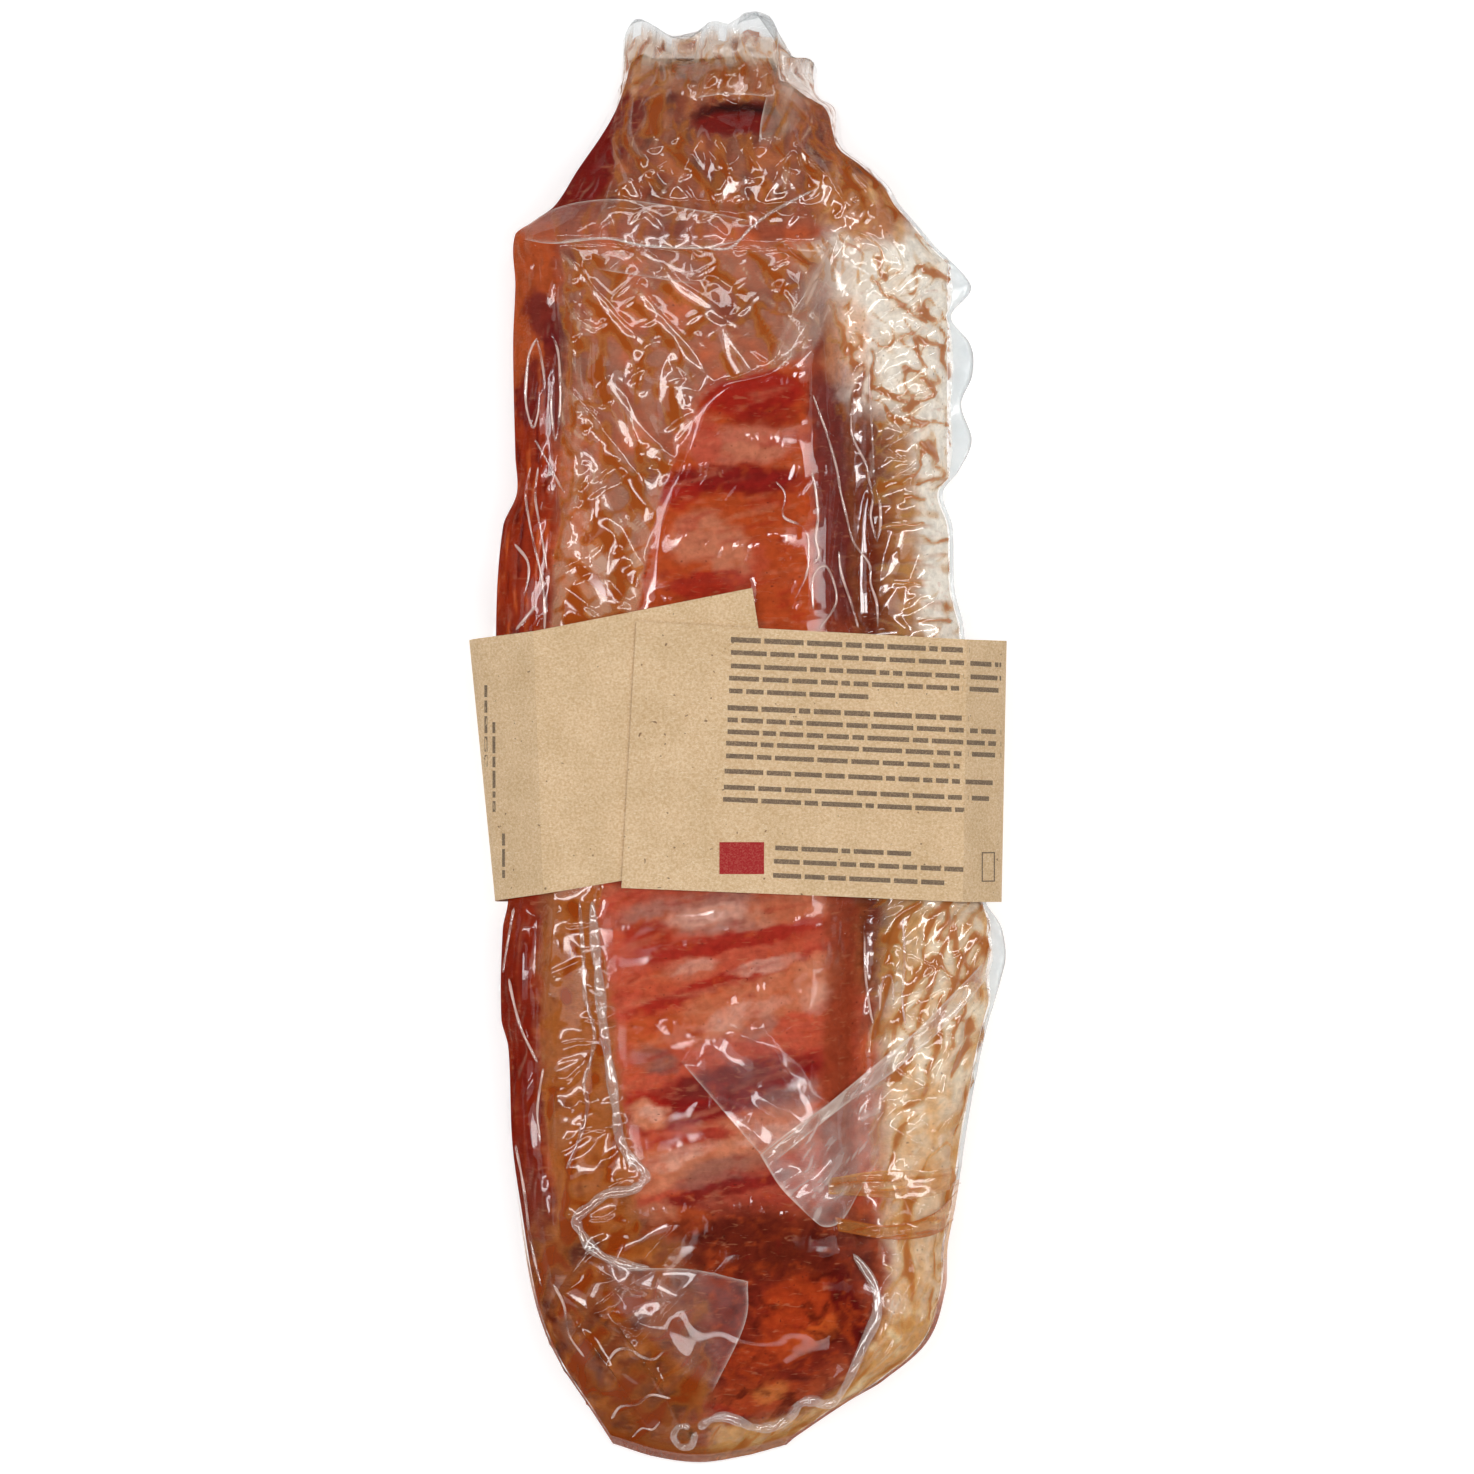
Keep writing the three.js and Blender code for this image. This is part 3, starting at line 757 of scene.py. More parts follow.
def paint_foot(colours, x, y, wx, wy, s, on_top):
    """The folded corner, the band of film above it, and the rim round the muscle."""
    corner = blot(wx, wy, *FOOT_CORNER) * (1 - smoothstep(x, -14, -2))
    patches = cloud(s / 9, y / 8, 51)
    band = within(wx, left_valley(y) + 1, fold_edge(y), 2) * within(y, -134, -40, 4) * on_top
    rim = foot_rim(wx, wy) * (1 - blot(x, y, *FOOT_HOLE, 4, 3.6, 0))
    paint(
        colours,
        (corner, (132, 60, 28)),
        (corner * smoothstep(patches, 0.1, 0.5), (178, 104, 52)),
        (corner * smoothstep(-patches, -0.02, 0.35) * 0.9, (86, 24, 12)),
        (band * 0.85, (168, 96, 52)),
        (band * smoothstep(-patches, 0.1, 0.5), (134, 56, 26)),
        # painted shade: the inside of the ring's hole, near black
        (blot(x, y, *FOOT_HOLE, 2.4, 2, 0) * on_top, (50, 14, 8)),
        (rim, (214, 156, 90)),
        (rim * smoothstep(patches, 0.0, 0.4) * 0.8, (244, 220, 174)),
    )


def contents_material():
    n = Nodes("marinated_meat")
    tint = n.attribute("tint", "Color")
    grain = n.noise(420, detail=4, rough=0.6)
    fibres = n.noise(260, n.where((1, 3.2, 1), 0.3), detail=3, distortion=0.6)
    shade = n.mix(n.ramp(grain, 0.3, 0.7), (0.55, 0.5, 0.48), (1.35, 1.3, 1.28))
    shaded = n.mix(0.35, tint, shade, "MULTIPLY")
    streaked = n.mix(n.ramp(fibres, 0.58, 0.75, 0, 0.35), shaded, (0.55, 0.2, 0.1))
    specks = n.ramp(n.noise(900, detail=1), 0.72, 0.78, 0, 0.6)
    colour = n.mix(specks, streaked, (0.05, 0.012, 0.008))
    rough = n.ramp(n.noise(180), 0.3, 0.7, 0.3, 0.5)
    relief = n.bump(n.math("ADD", grain, fibres), 0.0006, 0.6)
    return n.finish(n.add("BsdfPrincipled", {
        "Base Color": colour, "Roughness": rough, "Normal": relief, "Specular IOR Level": 0.0,
    }))


# ---- film: folds, haze and marinade

# Zone, turn of the folds in degrees, their length, width and height, amber in their creases, and seed.
FOLDS = [
    ("layer", -50, 40, 11, 0.9, 0.9, 101),
    ("layer", 84, 36, 11, 0.8, 0.7, 107),
    ("layer", 32, 13, 5.5, 0.5, 0.3, 104),
    ("cuff", 89, 90, 6.5, 1.3, 0.5, 171),
    ("neck", -62, 30, 9, 1.15, 0.7, 111),
    ("neck", 84, 30, 9, 0.95, 0.6, 117),
    ("neck", 20, 12, 5.5, 0.6, 0.3, 114),
    ("ruffle", 80, 14, 6.5, 1.2, 0.8, 118),
    ("ruffle", 20, 16, 8, 0.9, 0.6, 119),
    ("side", 84, 60, 11, 0.45, 0.0, 121),
    ("maroon", 87, 120, 6.5, 1.0, 0.0, 127),
    ("roll", 4, 34, 8, 0.6, 0.5, 131),
    ("roll", 80, 44, 10, 0.8, 0.0, 132),
    ("squiggle", 80, 34, 7.5, 0.9, 0.2, 134),
    ("squiggle", -38, 22, 8, 0.8, 0.3, 137),
    ("bunch", 72, 24, 7.5, 1.2, 0.8, 141),
    ("bunch", 40, 20, 10, 1.0, 0.6, 144),
    ("band", 6, 12, 8, 0.7, 0.3, 151),
    ("band", 84, 60, 11, 1.1, 0.8, 157),
    ("corner", 52, 70, 14, 1.5, 0.8, 161),
    ("corner", -18, 34, 15, 1.0, 0.5, 164),
]
LEAN = 0.36                # where the ridge lies in a fold's width: folds lean to one side
SLACK = 2.0                # how much the film sags between ridges: 1 is flat
SUNK = 0.45                # how far a crease may sink below the smooth form
CREASE_SHARE = 0.16        # half width of the marinade in a crease, as a share of the fold's width

# Zone, turn of the raised pockets of film in degrees, their length, width and height, how rare they
# are, and seed.
POCKETS = [
    ("side", 88, 30, 6, 0.4, 0.2, 221),
    ("side", 84, 16, 3.6, 0.25, 0.35, 222),
    ("cuff", 89, 36, 4, 0.4, 0.2, 223),
    ("maroon", 87, 50, 5, 0.5, 0.2, 225),
    ("window", 78, 6, 2.4, 0.25, 0.72, 227),
    ("layer", -56, 18, 5, 0.4, 0.45, 229),
    ("neck", -70, 14, 4.5, 0.4, 0.36, 231),
    ("ruffle", 75, 10, 4, 0.4, 0.25, 232),
    ("squiggle", 74, 16, 4.6, 0.5, 0.3, 233),
    ("roll", 30, 14, 5, 0.4, 0.45, 235),
    ("bunch", 70, 16, 5, 0.6, 0.1, 237),
    ("band", 30, 12, 4.5, 0.3, 0.5, 239),
    ("corner", 50, 24, 7, 0.5, 0.5, 241),
]
RIM = 0.9                  # width of a pocket's sloping edge
HAZE = {
    "layer": 0.22, "cuff": 0.1, "neck": 0.16, "ruffle": 0.28, "band": 0.12, "squiggle": 0.05, "bunch": 0.06,
    "corner": 0.05, "side": 0.0, "roll": 0.02, "maroon": 0.02,
}
# Turn and share of the thin milky streaks in each zone.
WISPS = {
    "layer": (-50, 0.34), "cuff": (89, 0.34), "neck": (70, 0.34), "ruffle": (75, 0.34), "band": (60, 0.22),
    "maroon": (84, 0.3), "side": (84, 0.14), "squiggle": (60, 0.3), "bunch": (62, 0.36), "corner": (52, 0.2),
}
MILKS = {
    "layer": (236, 194, 164), "neck": (228, 182, 150), "band": (222, 160, 100), "bunch": (252, 242, 224),
    "squiggle": (250, 240, 226), "roll": (246, 232, 212), "corner": (214, 150, 98), "maroon": (206, 166, 162),
    "ruffle": (222, 196, 172),
}
CLEAR_EDGE = (216, 226, 230)         # the free film's own colour
STAINED_EDGE = (226, 170, 104)       # the same at the foot, where marinade lies in it
MILKY_FAN = (29, 127, 13, 7, -12)    # the milky gathers beside the collar, as an ellipse and its turn
MILKY_TIPS = (182, 191)              # Y from and to of the milky film at the gathered end

# Marinade that has run into channels at the right side: X and Y of both ends, and width.
CHANNELS = [
    (40.9, 118.5, 50.7, 111.7, 1.3), (48.5, 115.4, 52.6, 113.0, 1.7), (40.1, 88.2, 43.9, 84.4, 1.3),
    (37.1, 93.5, 44.7, 90.4, 1.3), (25, 117, 31.8, 99.5, 1.3), (49.2, 107.1, 55.3, 104.8, 1.4),
    (46.9, 107.1, 50.7, 99.5, 1.1), (44.7, 88.2, 53.8, 92.7, 1.1), (49.2, 96.5, 53.8, 92.7, 0.9),
    (36.3, 104, 36.3, 93.5, 1.2), (50.7, 125.3, 56.8, 123.8, 1.1), (37.1, 129.1, 39.4, 123, 1.5),
    (43.9, 85.9, 56.8, 84.4, 0.8), (49.2, 79.8, 53.8, 74.5, 0.9), (37.9, 56.7, 50, 57.1, 1.0),
    (48.5, 31.3, 56.8, 31.3, 1.2), (45.4, 64.7, 50.7, 63.9, 0.9), (41.6, 42, 49.2, 41.2, 0.9),
    (40.4, 118.2, 36.2, 123.6, 0.9), (33.4, 98, 30.4, 88, 1.2), (55, 104, 57, 97, 0.9),
    (46.4, -67.9, 53.3, -59.3, 1.9), (56.7, -47.2, 54.2, -54.1, 1.4), (57.6, -51.5, 59.3, -61, 1.4),
    (51.6, -48.9, 49.8, -55, 1.3), (63.8, -53.4, 66.8, -56.4, 1.9), (47, -80, 43, -92, 1.4),
    (53.6, -60, 58.4, -66, 1.0), (60, -58, 64, -66, 1.0), (55, -70, 52, -78, 1.0), (61, -72, 57, -84, 1.0),
]
# Zone, size of the veins of marinade in millimetres, their turn, width and amount, and seed.
VEINS = [
    ("squiggle", 9, -38, 0.08, 0.75, 281),
    ("squiggle", 7, 74, 0.06, 0.55, 283),
    ("bunch", 11, 66, 0.07, 0.6, 285),
    ("roll", 10, 3, 0.09, 0.5, 289),
    ("ruffle", 7, 60, 0.12, 0.8, 291),
    ("neck", 8, -55, 0.08, 0.6, 293),
    ("layer", 12, -45, 0.05, 0.5, 295),
    ("corner", 13, 50, 0.06, 0.6, 297),
]


def folded(s, y, turn, long, wide, seed):
    """Sharp ridges with slack film between: their height from 0 to 1, and how far the next crease is."""
    u, v = turned(s, y, turn)
    place = v / wide + 0.5 * noise(u / long, v / (2.4 * wide), seed)
    place += 0.07 * noise(u / (0.3 * long), v / wide, seed + 1)
    part = place - np.floor(place)
    height = np.minimum(part / LEAN, (1 - part) / (1 - LEAN)) ** SLACK
    lasting = smoothstep(noise(u / (0.7 * long), 0.6 * v / wide, seed + 2), -0.3, 0.3)
    return height * lasting, np.minimum(part, 1 - part) * wide


def pocket(s, y, turn, long, wide, rare, seed):
    """Raised spots with a flat top and a narrow rim: 1 on them and 0 beside them."""
    u, v = turned(s, y, turn)
    n = noise(u / long + 0.3 * noise(v / wide, u / long, seed + 1), v / wide, seed)
    return smoothstep((n - rare) * wide / 1.5, -RIM / 2, RIM / 2)


def wisps(s, y, turn, seed):
    """Thin streaks in one direction, in loose groups."""
    u, v = turned(s + 2.5 * noise(s / 11, y / 11, seed), y + 2.5 * noise(s / 11, y / 11, seed + 1), turn)
    fine = noise(u / 11, v / 1.15, seed + 2) + 0.5 * noise(u / 7, v / 2.6, seed + 3)
    return smoothstep(fine, 0.2, 0.75) * smoothstep(cloud(s / 15, y / 15, seed + 4), -0.25, 0.35)


def veins(s, y, size, turn, width, seed):
    """Lines that wander and branch, wide where the noise is flat."""
    u, v = turned(s, y, turn)
    n = noise(u / (1.9 * size), v / size, seed) + 0.35 * noise(u / (0.7 * size), v / (0.5 * size), seed + 1)
    lasting = smoothstep(cloud(s / (1.6 * size), y / (1.6 * size), seed + 2), -0.25, 0.1)
    return bump(n, width) * lasting


def stroke(x, y, x0, y0, x1, y1, width):
    """1 along the middle of a stroke with round ends, 0.5 at its edge."""
    along = np.clip(((x - x0) * (x1 - x0) + (y - y0) * (y1 - y0)) / ((x1 - x0) ** 2 + (y1 - y0) ** 2), 0, 1)
    off = np.hypot(x - x0 - along * (x1 - x0), y - y0 - along * (y1 - y0))
    return np.clip(1 - off / width, 0, 1)


class FilmField:
    """How the film folds, and where it is milky or holds marinade, over the bag's form."""

    def __init__(self, x, y, s, top):
        self.x, self.y, self.s, self.top = x, y, s, top
        self.wx = x + 1.3 * cloud(s / 9, y / 9, 71)
        self.wy = y + 1.3 * cloud(s / 9, y / 9, 72)
        self.zones = self._zones()
        self.channels = self._channels()
        self.marinade = self._washes()
        self.relief = self._folded()
        self.haze = self._milky()

    def _zones(self):
        x, y, wx, wy, top = self.x, self.y, self.wx, self.wy, self.top
        valley, fold, right = left_valley(y), fold_edge(y), right_valley(y)
        sliver = smoothstep(wx, neck_line(y) - 0.6, neck_line(y) + 0.6)
        corner = blot(wx, wy, *FOOT_CORNER) * (1 - smoothstep(x, -12, 0))
        bunch = smoothstep(wx, right - 1, right + 4) * within(wy, -176, -20, 4)
        return {
            "side": lerp(1 - smoothstep(wx, valley - 1, valley + 2), 1 - sliver, smoothstep(y, 137, 144))
                    * within(y, -170, 176, 4) * (1 - corner),
            "layer": within(wx, valley + 1.5, fold, 0.7) * within(wy, 10, 133, 2) * top,
            "cuff": within(wx, valley + 1.5, -37, 2) * within(wy, 62, 128, 6) * top,
            "band": within(wx, valley + 1.5, fold, 0.7) * within(wy, -134, -10, 2) * top,
            "window": within(wx, fold, right - 8, 1.2) * within(wy, -188, 100, 2) * top,
            "maroon": within(wx, right - 11, right + 3, 2) * within(wy, -60, 100, 3) * top,
            "roll": smoothstep(wx, right + 1, right + 5) * within(wy, 10, 74, 3),
            "squiggle": smoothstep(wx, right - 9, right - 2) * within(wy, 66, 136, 3),
            "neck": within(wy, 138, 174, 2) * sliver * (1 - mouth(wx, wy)),
            "ruffle": smoothstep(wy, 172, 177),
            "bunch": np.maximum(bunch, foot_rim(wx, wy)),
            "corner": corner,
        }

    def _washes(self):
        """Marinade in the channels, and spread thin elsewhere."""
        zones = self.zones
        wash = smoothstep(cloud(self.s / 10, self.y / 9, 205), -0.5, 0.4)
        thin = 0.42 * zones["band"] + 0.34 * zones["corner"] + 0.2 * zones["bunch"]
        marinade = 0.95 * self.channels + wash * thin
        for zone, size, turn, width, amount, seed in VEINS:
            marinade += amount * zones[zone] * veins(self.s, self.y, size, turn, width, seed)
        return marinade

    def _folded(self):
        """How far the film stands off its smooth form, with marinade added in the creases."""
        s, y, zones = self.s, self.y, self.zones
        tops = {zone: np.zeros_like(s) for zone in zones}
        low_layer = 1 + 0.5 * zones["layer"] * (1 - smoothstep(self.wy, 45, 80))
        for zone, turn, long, wide, height, amber, seed in FOLDS:
            rise, to_crease = folded(s, y, turn, long, wide, seed)
            tops[zone] = np.maximum(tops[zone], height * rise)
            gathered = smoothstep(cloud(s / 13, y / 13, seed + 9), -0.3, 0.2)
            self.marinade += zones[zone] * amber * bump(to_crease, CREASE_SHARE * wide) * gathered * low_layer
        relief = 0.12 * noise(s / 14, y / 14, 202)
        for zone, top in tops.items():
            relief += zones[zone] * (top - SUNK * (top.max() > 0))
        for zone, turn, long, wide, height, rare, seed in POCKETS:
            relief += zones[zone] * height * pocket(s, y, turn, long, wide, rare, seed)
        return (relief + 0.4 * self.channels) * lerp(1, 0.3, under_sleeve(self.x, y))

    def _milky(self):
        """How milky the film is, in patches and wisps, with more milk on the sides of folds that lean left as
        painted light.
        """
        s, y, zones = self.s, self.y, self.zones
        across = np.gradient(self.relief, axis=1) / np.gradient(s, axis=1)
        along = np.gradient(self.relief, axis=0) / np.gradient(y, axis=0)
        # painted light: the sides of folds that lean left get more milk, so they turn paler
        lit_lean = np.clip((0.8 * across + 0.6 * along) / 0.45, -1, 1)
        patches = (0.6 + 0.5 * cloud(s / 12, y / 12, 203)) * (1 + 0.75 * lit_lean)
        haze = sum(share * zones[zone] for zone, share in HAZE.items()) * patches
        for seed, (zone, (turn, share)) in enumerate(WISPS.items(), 251):
            haze += share * zones[zone] * wisps(s, y, turn, seed)
        haze += 0.42 * blot(self.wx, self.wy, *MILKY_FAN) + 0.3 * within(self.wy, *MILKY_TIPS, 2)
        haze += 0.26 * zones["layer"] * (1 - smoothstep(self.wy, 40, 80))
        haze *= 1 - 0.8 * mouth(self.wx, self.wy)
        return np.clip(haze, 0, 0.9)

    def _channels(self):
        x = self.x + 0.9 * noise(self.x / 4, self.y / 4, 207)
        y = self.y + 0.9 * noise(self.x / 4, self.y / 4, 208)
        marks = np.zeros_like(x)
        for channel in CHANNELS:
            marks = np.maximum(marks, stroke(x, y, *channel) * self.top)
        return marks

    def milk(self):
        """The colour of the film's haze, which is golden where marinade lies in it."""
        colours = filled(self.x.shape, MILKS["layer"])
        milks = [(np.clip(self.zones[zone], 0, 1), colour) for zone, colour in MILKS.items()]
        amber_foot = self.zones["layer"] * (1 - smoothstep(self.wy, 30, 62))
        paint(colours, *milks, (amber_foot * 0.8, (234, 180, 138)))
        return colours


HEAD_ON_SHINE = 0.065      # share of the light that both faces of the film reflect straight back


def film_material():
    n = Nodes("clear_film")
    haze, marinade = n.attribute("haze"), n.attribute("marinade")
    ragged = n.math("MULTIPLY", n.math("SUBTRACT", n.noise(800, detail=2), 0.5), 0.35)
    amber = n.ramp(n.math("ADD", marinade, ragged), 0.08, 1.0)
    milk = n.math("MULTIPLY", haze, n.ramp(n.noise(170, detail=3), 0.25, 0.75, 0.82, 1.15))
    clean = n.attribute("milk", "Color")
    stain = n.mix(n.ramp(amber, 0.3, 1.0), (0.82, 0.5, 0.2), (0.5, 0.16, 0.03))
    tint = n.mix(n.ramp(amber, 0.0, 0.25), clean, n.mix(1.0, clean, stain, "MULTIPLY"))
    cover = n.math("MAXIMUM", n.math("MULTIPLY", n.math("POWER", amber, 0.75), 0.75), milk, clamp=True)
    relief = n.bump(n.noise(210, detail=2, distortion=0.6), 0.0003, 0.03)
    skin = n.add("BsdfPrincipled", {
        "Base Color": tint, "Roughness": 0.5, "Specular IOR Level": 0.0, "Normal": relief,
    })
    see_through = n.mix_shader(cover, n.add("BsdfTransparent"), skin)
    gloss = n.add("BsdfGlossy", {"Color": (1, 1, 1), "Roughness": 0.06, "Normal": relief})
    facing = n.add("LayerWeight", {"Blend": 0.5, "Normal": relief}).outputs["Facing"]
    edge_on = n.math("MULTIPLY", n.math("POWER", facing, 6.0), 1 - HEAD_ON_SHINE)
    shine = n.math("MULTIPLY", n.math("ADD", edge_on, HEAD_ON_SHINE), n.attribute("presence"))
    return n.finish(n.mix_shader(shine, see_through, gloss))


# ---- pieces: film and contents

GAP = 0.8                  # from the smooth form in to the contents
SIDE_GAP = 0.25            # the same where the sides stand upright
WET_SIDE = 0.07            # how much of its shine the film keeps where it clings to the sides
FREE_SHINE = (0.35, 0.08)  # the same of the free film, and of that at the foot
# How much duller it is where it is folded double or wet from below, by zone.
DULL_ZONES = {"layer": 0.3, "band": 0.3, "side": 0.48}
# Places where other film or wet meat takes the shine: as a turned ellipse, and how much is lost.
DULL_SPOTS = [
    (22, -14, 118, 7, 91, 0.7),
    (-27, -85, 42, 7, 99, 0.85),
    (-15, 68, 30, 5, 68, 0.6),
    (-18, -152, 24, 15, -20, 0.75),
    (8, -158, 30, 27, 0, 0.8),
    (50, -128, 10, 34, -10, 0.7),
    (0, -86, 34, 34, 0, 0.5),
]


def film_points(grid, relief):
    """The film's points: its smooth form, moved out by its folds."""
    upright = smoothstep(np.abs(grid.normals[..., 2]), 0.15, 0.6)
    relief = np.maximum(relief, -SUNK * lerp(0.3, 1, upright))
    relief = np.where(grid.body[None, :], relief, 0.15 * relief) * smoothstep(grid.z, 0.2, 3)
    points = grid.points + grid.normals * relief[..., None]
    points[..., 2] = np.maximum(points[..., 2], 0)
    return points


def film_faces(grid):
    """Walls between the rings, and an end at which the two layers meet flat."""
    rows, size = grid.x.shape
    first_low = int(grid.is_top.sum())
    foot_cap = cap_faces(np.arange(size), first_low)
    head_cap = cap_faces(np.arange(size) + (rows - 1) * size, first_low)
    return ring_faces(rows, size)[:-2] + [face[::-1] for face in foot_cap] + head_cap


def free_film(grid):
    """True where the film holds nothing: at the sides, the scallops and the tips of the gathered end."""
    clear_head = grid.y > 190.6 + 1.3 * np.sin(grid.x / 2.1)
    return ~grid.body[None, :] | clear_head | lobes(grid.x, grid.y)


def film_shine(grid, zones, free, foot):
    """How much of its shine the film keeps."""
    shine = lerp(WET_SIDE, 1, smoothstep(np.abs(grid.normals[..., 2]), 0.55, 0.92))
    for zone, loss in DULL_ZONES.items():
        shine *= 1 - loss * zones[zone]
    for *ellipse, loss in DULL_SPOTS:
        shine *= 1 - loss * blot(grid.x, grid.y, *ellipse)
    shine = np.where(free, lerp(*FREE_SHINE, smoothstep(-grid.y, 120, 150)), shine)
    return shine * (1 - 0.8 * foot)


def make_film(grid, material):
    field = FilmField(grid.x, grid.y, grid.s, grid.is_top[None, :] * 1.0)
    film = mesh_object("bag_film", film_points(grid, field.relief), film_faces(grid))
    free = free_film(grid)
    foot = 1 - smoothstep(grid.row, FOOT + 2, FOOT + 7)
    milk = field.milk()
    milk[free] = rgb(*CLEAR_EDGE)
    milk[free & (grid.y < -120)] = rgb(*STAINED_EDGE)
    clear = lerp(0.02, 0.4, smoothstep(grid.x, 30, 50)) + 0.2 * smoothstep(grid.y, 176, 187)
    clear = lerp(clear, 0.5, smoothstep(-grid.y, 120, 150))
    haze = np.where(free, clear, np.maximum(field.haze, 0.5 * foot))
    stain = 0.8 * smoothstep(-grid.y, 130, 160)
    marinade = np.where(free, stain, np.maximum(field.marinade, 0.8 * foot))
    return dress_film(film, material, haze, marinade, milk, film_shine(grid, field.zones, free, foot))


def dress_film(piece, material, haze, marinade, milk, presence):
    """Give a piece the film's material, and at each point the numbers that it reads."""
    number_attribute(piece, "haze", haze)
    number_attribute(piece, "marinade", marinade)
    colour_attribute(piece, "milk", milk)
    number_attribute(piece, "presence", presence + np.zeros_like(haze))
    piece.data.materials.append(material)
    return piece


def make_contents(grid):
    rows = (grid.row[:, 0] > FOOT + 1.6) & (grid.row[:, 0] < HEAD - 8)
    keep = np.ix_(rows, grid.body)
    upright = smoothstep(np.abs(grid.normals[..., 2]), 0.15, 0.6)
    inset = lerp(SIDE_GAP, GAP, upright) + 1.2 * smoothstep(grid.row, 150, 175)
    points = (grid.points - grid.normals * inset[..., None])[keep]
    ragged = 2.4 * noise(grid.x / 5, grid.x * 0 + 0.5, 91) * smoothstep(grid.row, 162, 176)
    points[..., 1] += ragged[keep]
    points[..., 2] = np.maximum(points[..., 2], 0.3)
    contents = mesh_object("rack_of_ribs", points, ring_faces(*points.shape[:2]))
    colour_attribute(contents, "tint", contents_colours(grid)[keep])
    contents.data.materials.append(contents_material())
    return contents


# ---- pieces: loose film that lies on the pack

SHEET_STEP = 0.8           # between points of a flap
SHEET_RIM = 0.55           # width of the whitened free edge
SHEET_JOIN = 5.0           # over which a joined edge goes over into the film below
SHEET_SMOOTHING = 20       # rounds of smoothing: loose film bridges the folds below it
SHEET_SHINE = 0.6          # its shine, as a share of the bag film's

# Name, rows of points across each flap from one edge to the other, lift at both edges, haze, milk,
# wash of marinade, its folds (turn, length, width, height), and which edges are free:
# first row, last row, first column, last column.
SHEETS = [
    ("collar", [
        [(-60, 135.8), (-49.5, 142.4), (-34.9, 144.6), (-19.9, 143), (-5.7, 140.6), (4.6, 138.4)],
        [(-59.6, 135), (-49, 137.6), (-35.3, 139.6), (-22, 138.4), (-8, 136), (5, 137)],
        [(-59, 134.4), (-49.8, 132.6), (-35.7, 133.6), (-25, 131.9), (-9.3, 131.2), (3.7, 134)],
    ], (0.7, 1.5), 0.16, (226, 176, 156), 0.14, (80, 14, 8, 0.7), (1, 1, 0, 0)),
    ("tuck", [
        [(-39, 134), (-24, 133), (-9, 132)],
        [(-38.9, 125.8), (-23.8, 123.4), (-9.3, 121.2)],
    ], (0.5, 1.2), 0.12, (232, 190, 174), 0.05, (70, 12, 6, 0.7), (0, 1, 0, 0)),
    ("fan", [
        [(21.2, 134), (28, 136), (34, 136.4), (41.6, 133)],
        [(14, 119), (22, 122), (28, 124), (34, 123)],
        [(6, 97), (11, 98), (16, 99.6), (20, 101)],
    ], (0.6, 0.9), 0.4, (240, 214, 196), 0.0, (66, 30, 3.4, 0.6), (0, 0, 0, 0)),
    ("hood", [
        [(-21, 187), (-8, 184.5), (3, 185.5), (15, 181)],
        [(-18, 180), (-6, 179), (4, 179.5), (14, 176.5)],
        [(-13.4, 171.8), (-5, 173.2), (3, 173.2), (10.5, 172.2)],
    ], (0.6, 3.4), 0.34, (196, 124, 84), 0.3, (76, 12, 4.6, 1.0), (0, 1, 0, 0)),
    ("curl", [
        [(8.3, 175.5), (13, 179.5), (19.6, 178)],
        [(6.2, 166), (11, 169), (18.3, 168)],
        [(5.6, 158.5), (9, 158), (13.5, 160.5)],
    ], (2.0, 1.0), 0.5, (238, 202, 178), 0.15, (72, 16, 4.4, 1.2), (0, 0, 1, 0)),
    ("clear_flap", [
        [(-15.8, -86.6), (-5, -99.2), (5.9, -111.9)],
        [(-11, -80), (2, -88), (15.4, -105)],
        [(-4, -75), (10, -80), (24.9, -98)],
    ], (1.1, 0.9), 0.13, (214, 184, 182), 0.0, (-40, 16, 9, 0.4), (1, 0, 0, 1)),
    ("milky_flap", [
        [(5.9, -112.1), (15, -105), (24.9, -98), (35, -90), (44, -82)],
        [(11.5, -121), (19, -116), (27, -110), (34, -103), (41, -96)],
        [(18.8, -128.4), (23, -131.5), (28, -130), (33, -122), (39, -112)],
    ], (1.3, 0.9), 0.42, (232, 216, 208), 0.0, (48, 20, 7, 0.9), (1, 1, 1, 0)),
    ("diagonal_strip", [
        [(6.6, -112.6), (24.9, -98), (37, -88.5), (48, -79), (58, -69), (68, -59)],
        [(8.6, -115), (26.6, -100.6), (39.4, -92), (50.6, -82.6), (60.6, -72.8), (69.6, -62)],
    ], (1.5, 1.2), 0.34, (238, 220, 206), 0.0, (42, 14, 3.2, 0.4), (1, 1, 0, 0)),
    ("upper_strap", [
        [(24, -118.6), (38, -116.9), (50, -116.6), (60.6, -116.2)],
        [(24.4, -122.8), (38, -124), (50, -124), (60.4, -121)],
    ], (1.7, 1.7), 0.42, (244, 206, 150), 0.45, (2, 26, 4, 0.5), (1, 1, 1, 0)),
    ("lower_strap", [
        [(26, -129), (40, -131.5), (52, -128.6), (59.6, -122.6)],
        [(27, -132.8), (40, -135.2), (52, -134.4), (58.4, -131)],
    ], (1.7, 1.7), 0.42, (240, 196, 134), 0.5, (8, 26, 4, 0.5), (1, 1, 1, 0)),
    ("corner_flap", [
        [(-38, -138.3), (-28, -142.2), (-12, -142.9), (2.7, -146.1)],
        [(-36, -147), (-26, -152), (-12, -155), (1.8, -157.7)],
        [(-33, -155), (-25, -162), (-16, -171), (-7, -176.5)],
    ], (1.6, 1.0), 0.17, (222, 190, 186), 0.0, (-48, 30, 14, 0.6), (1, 0, 0, 1)),
]

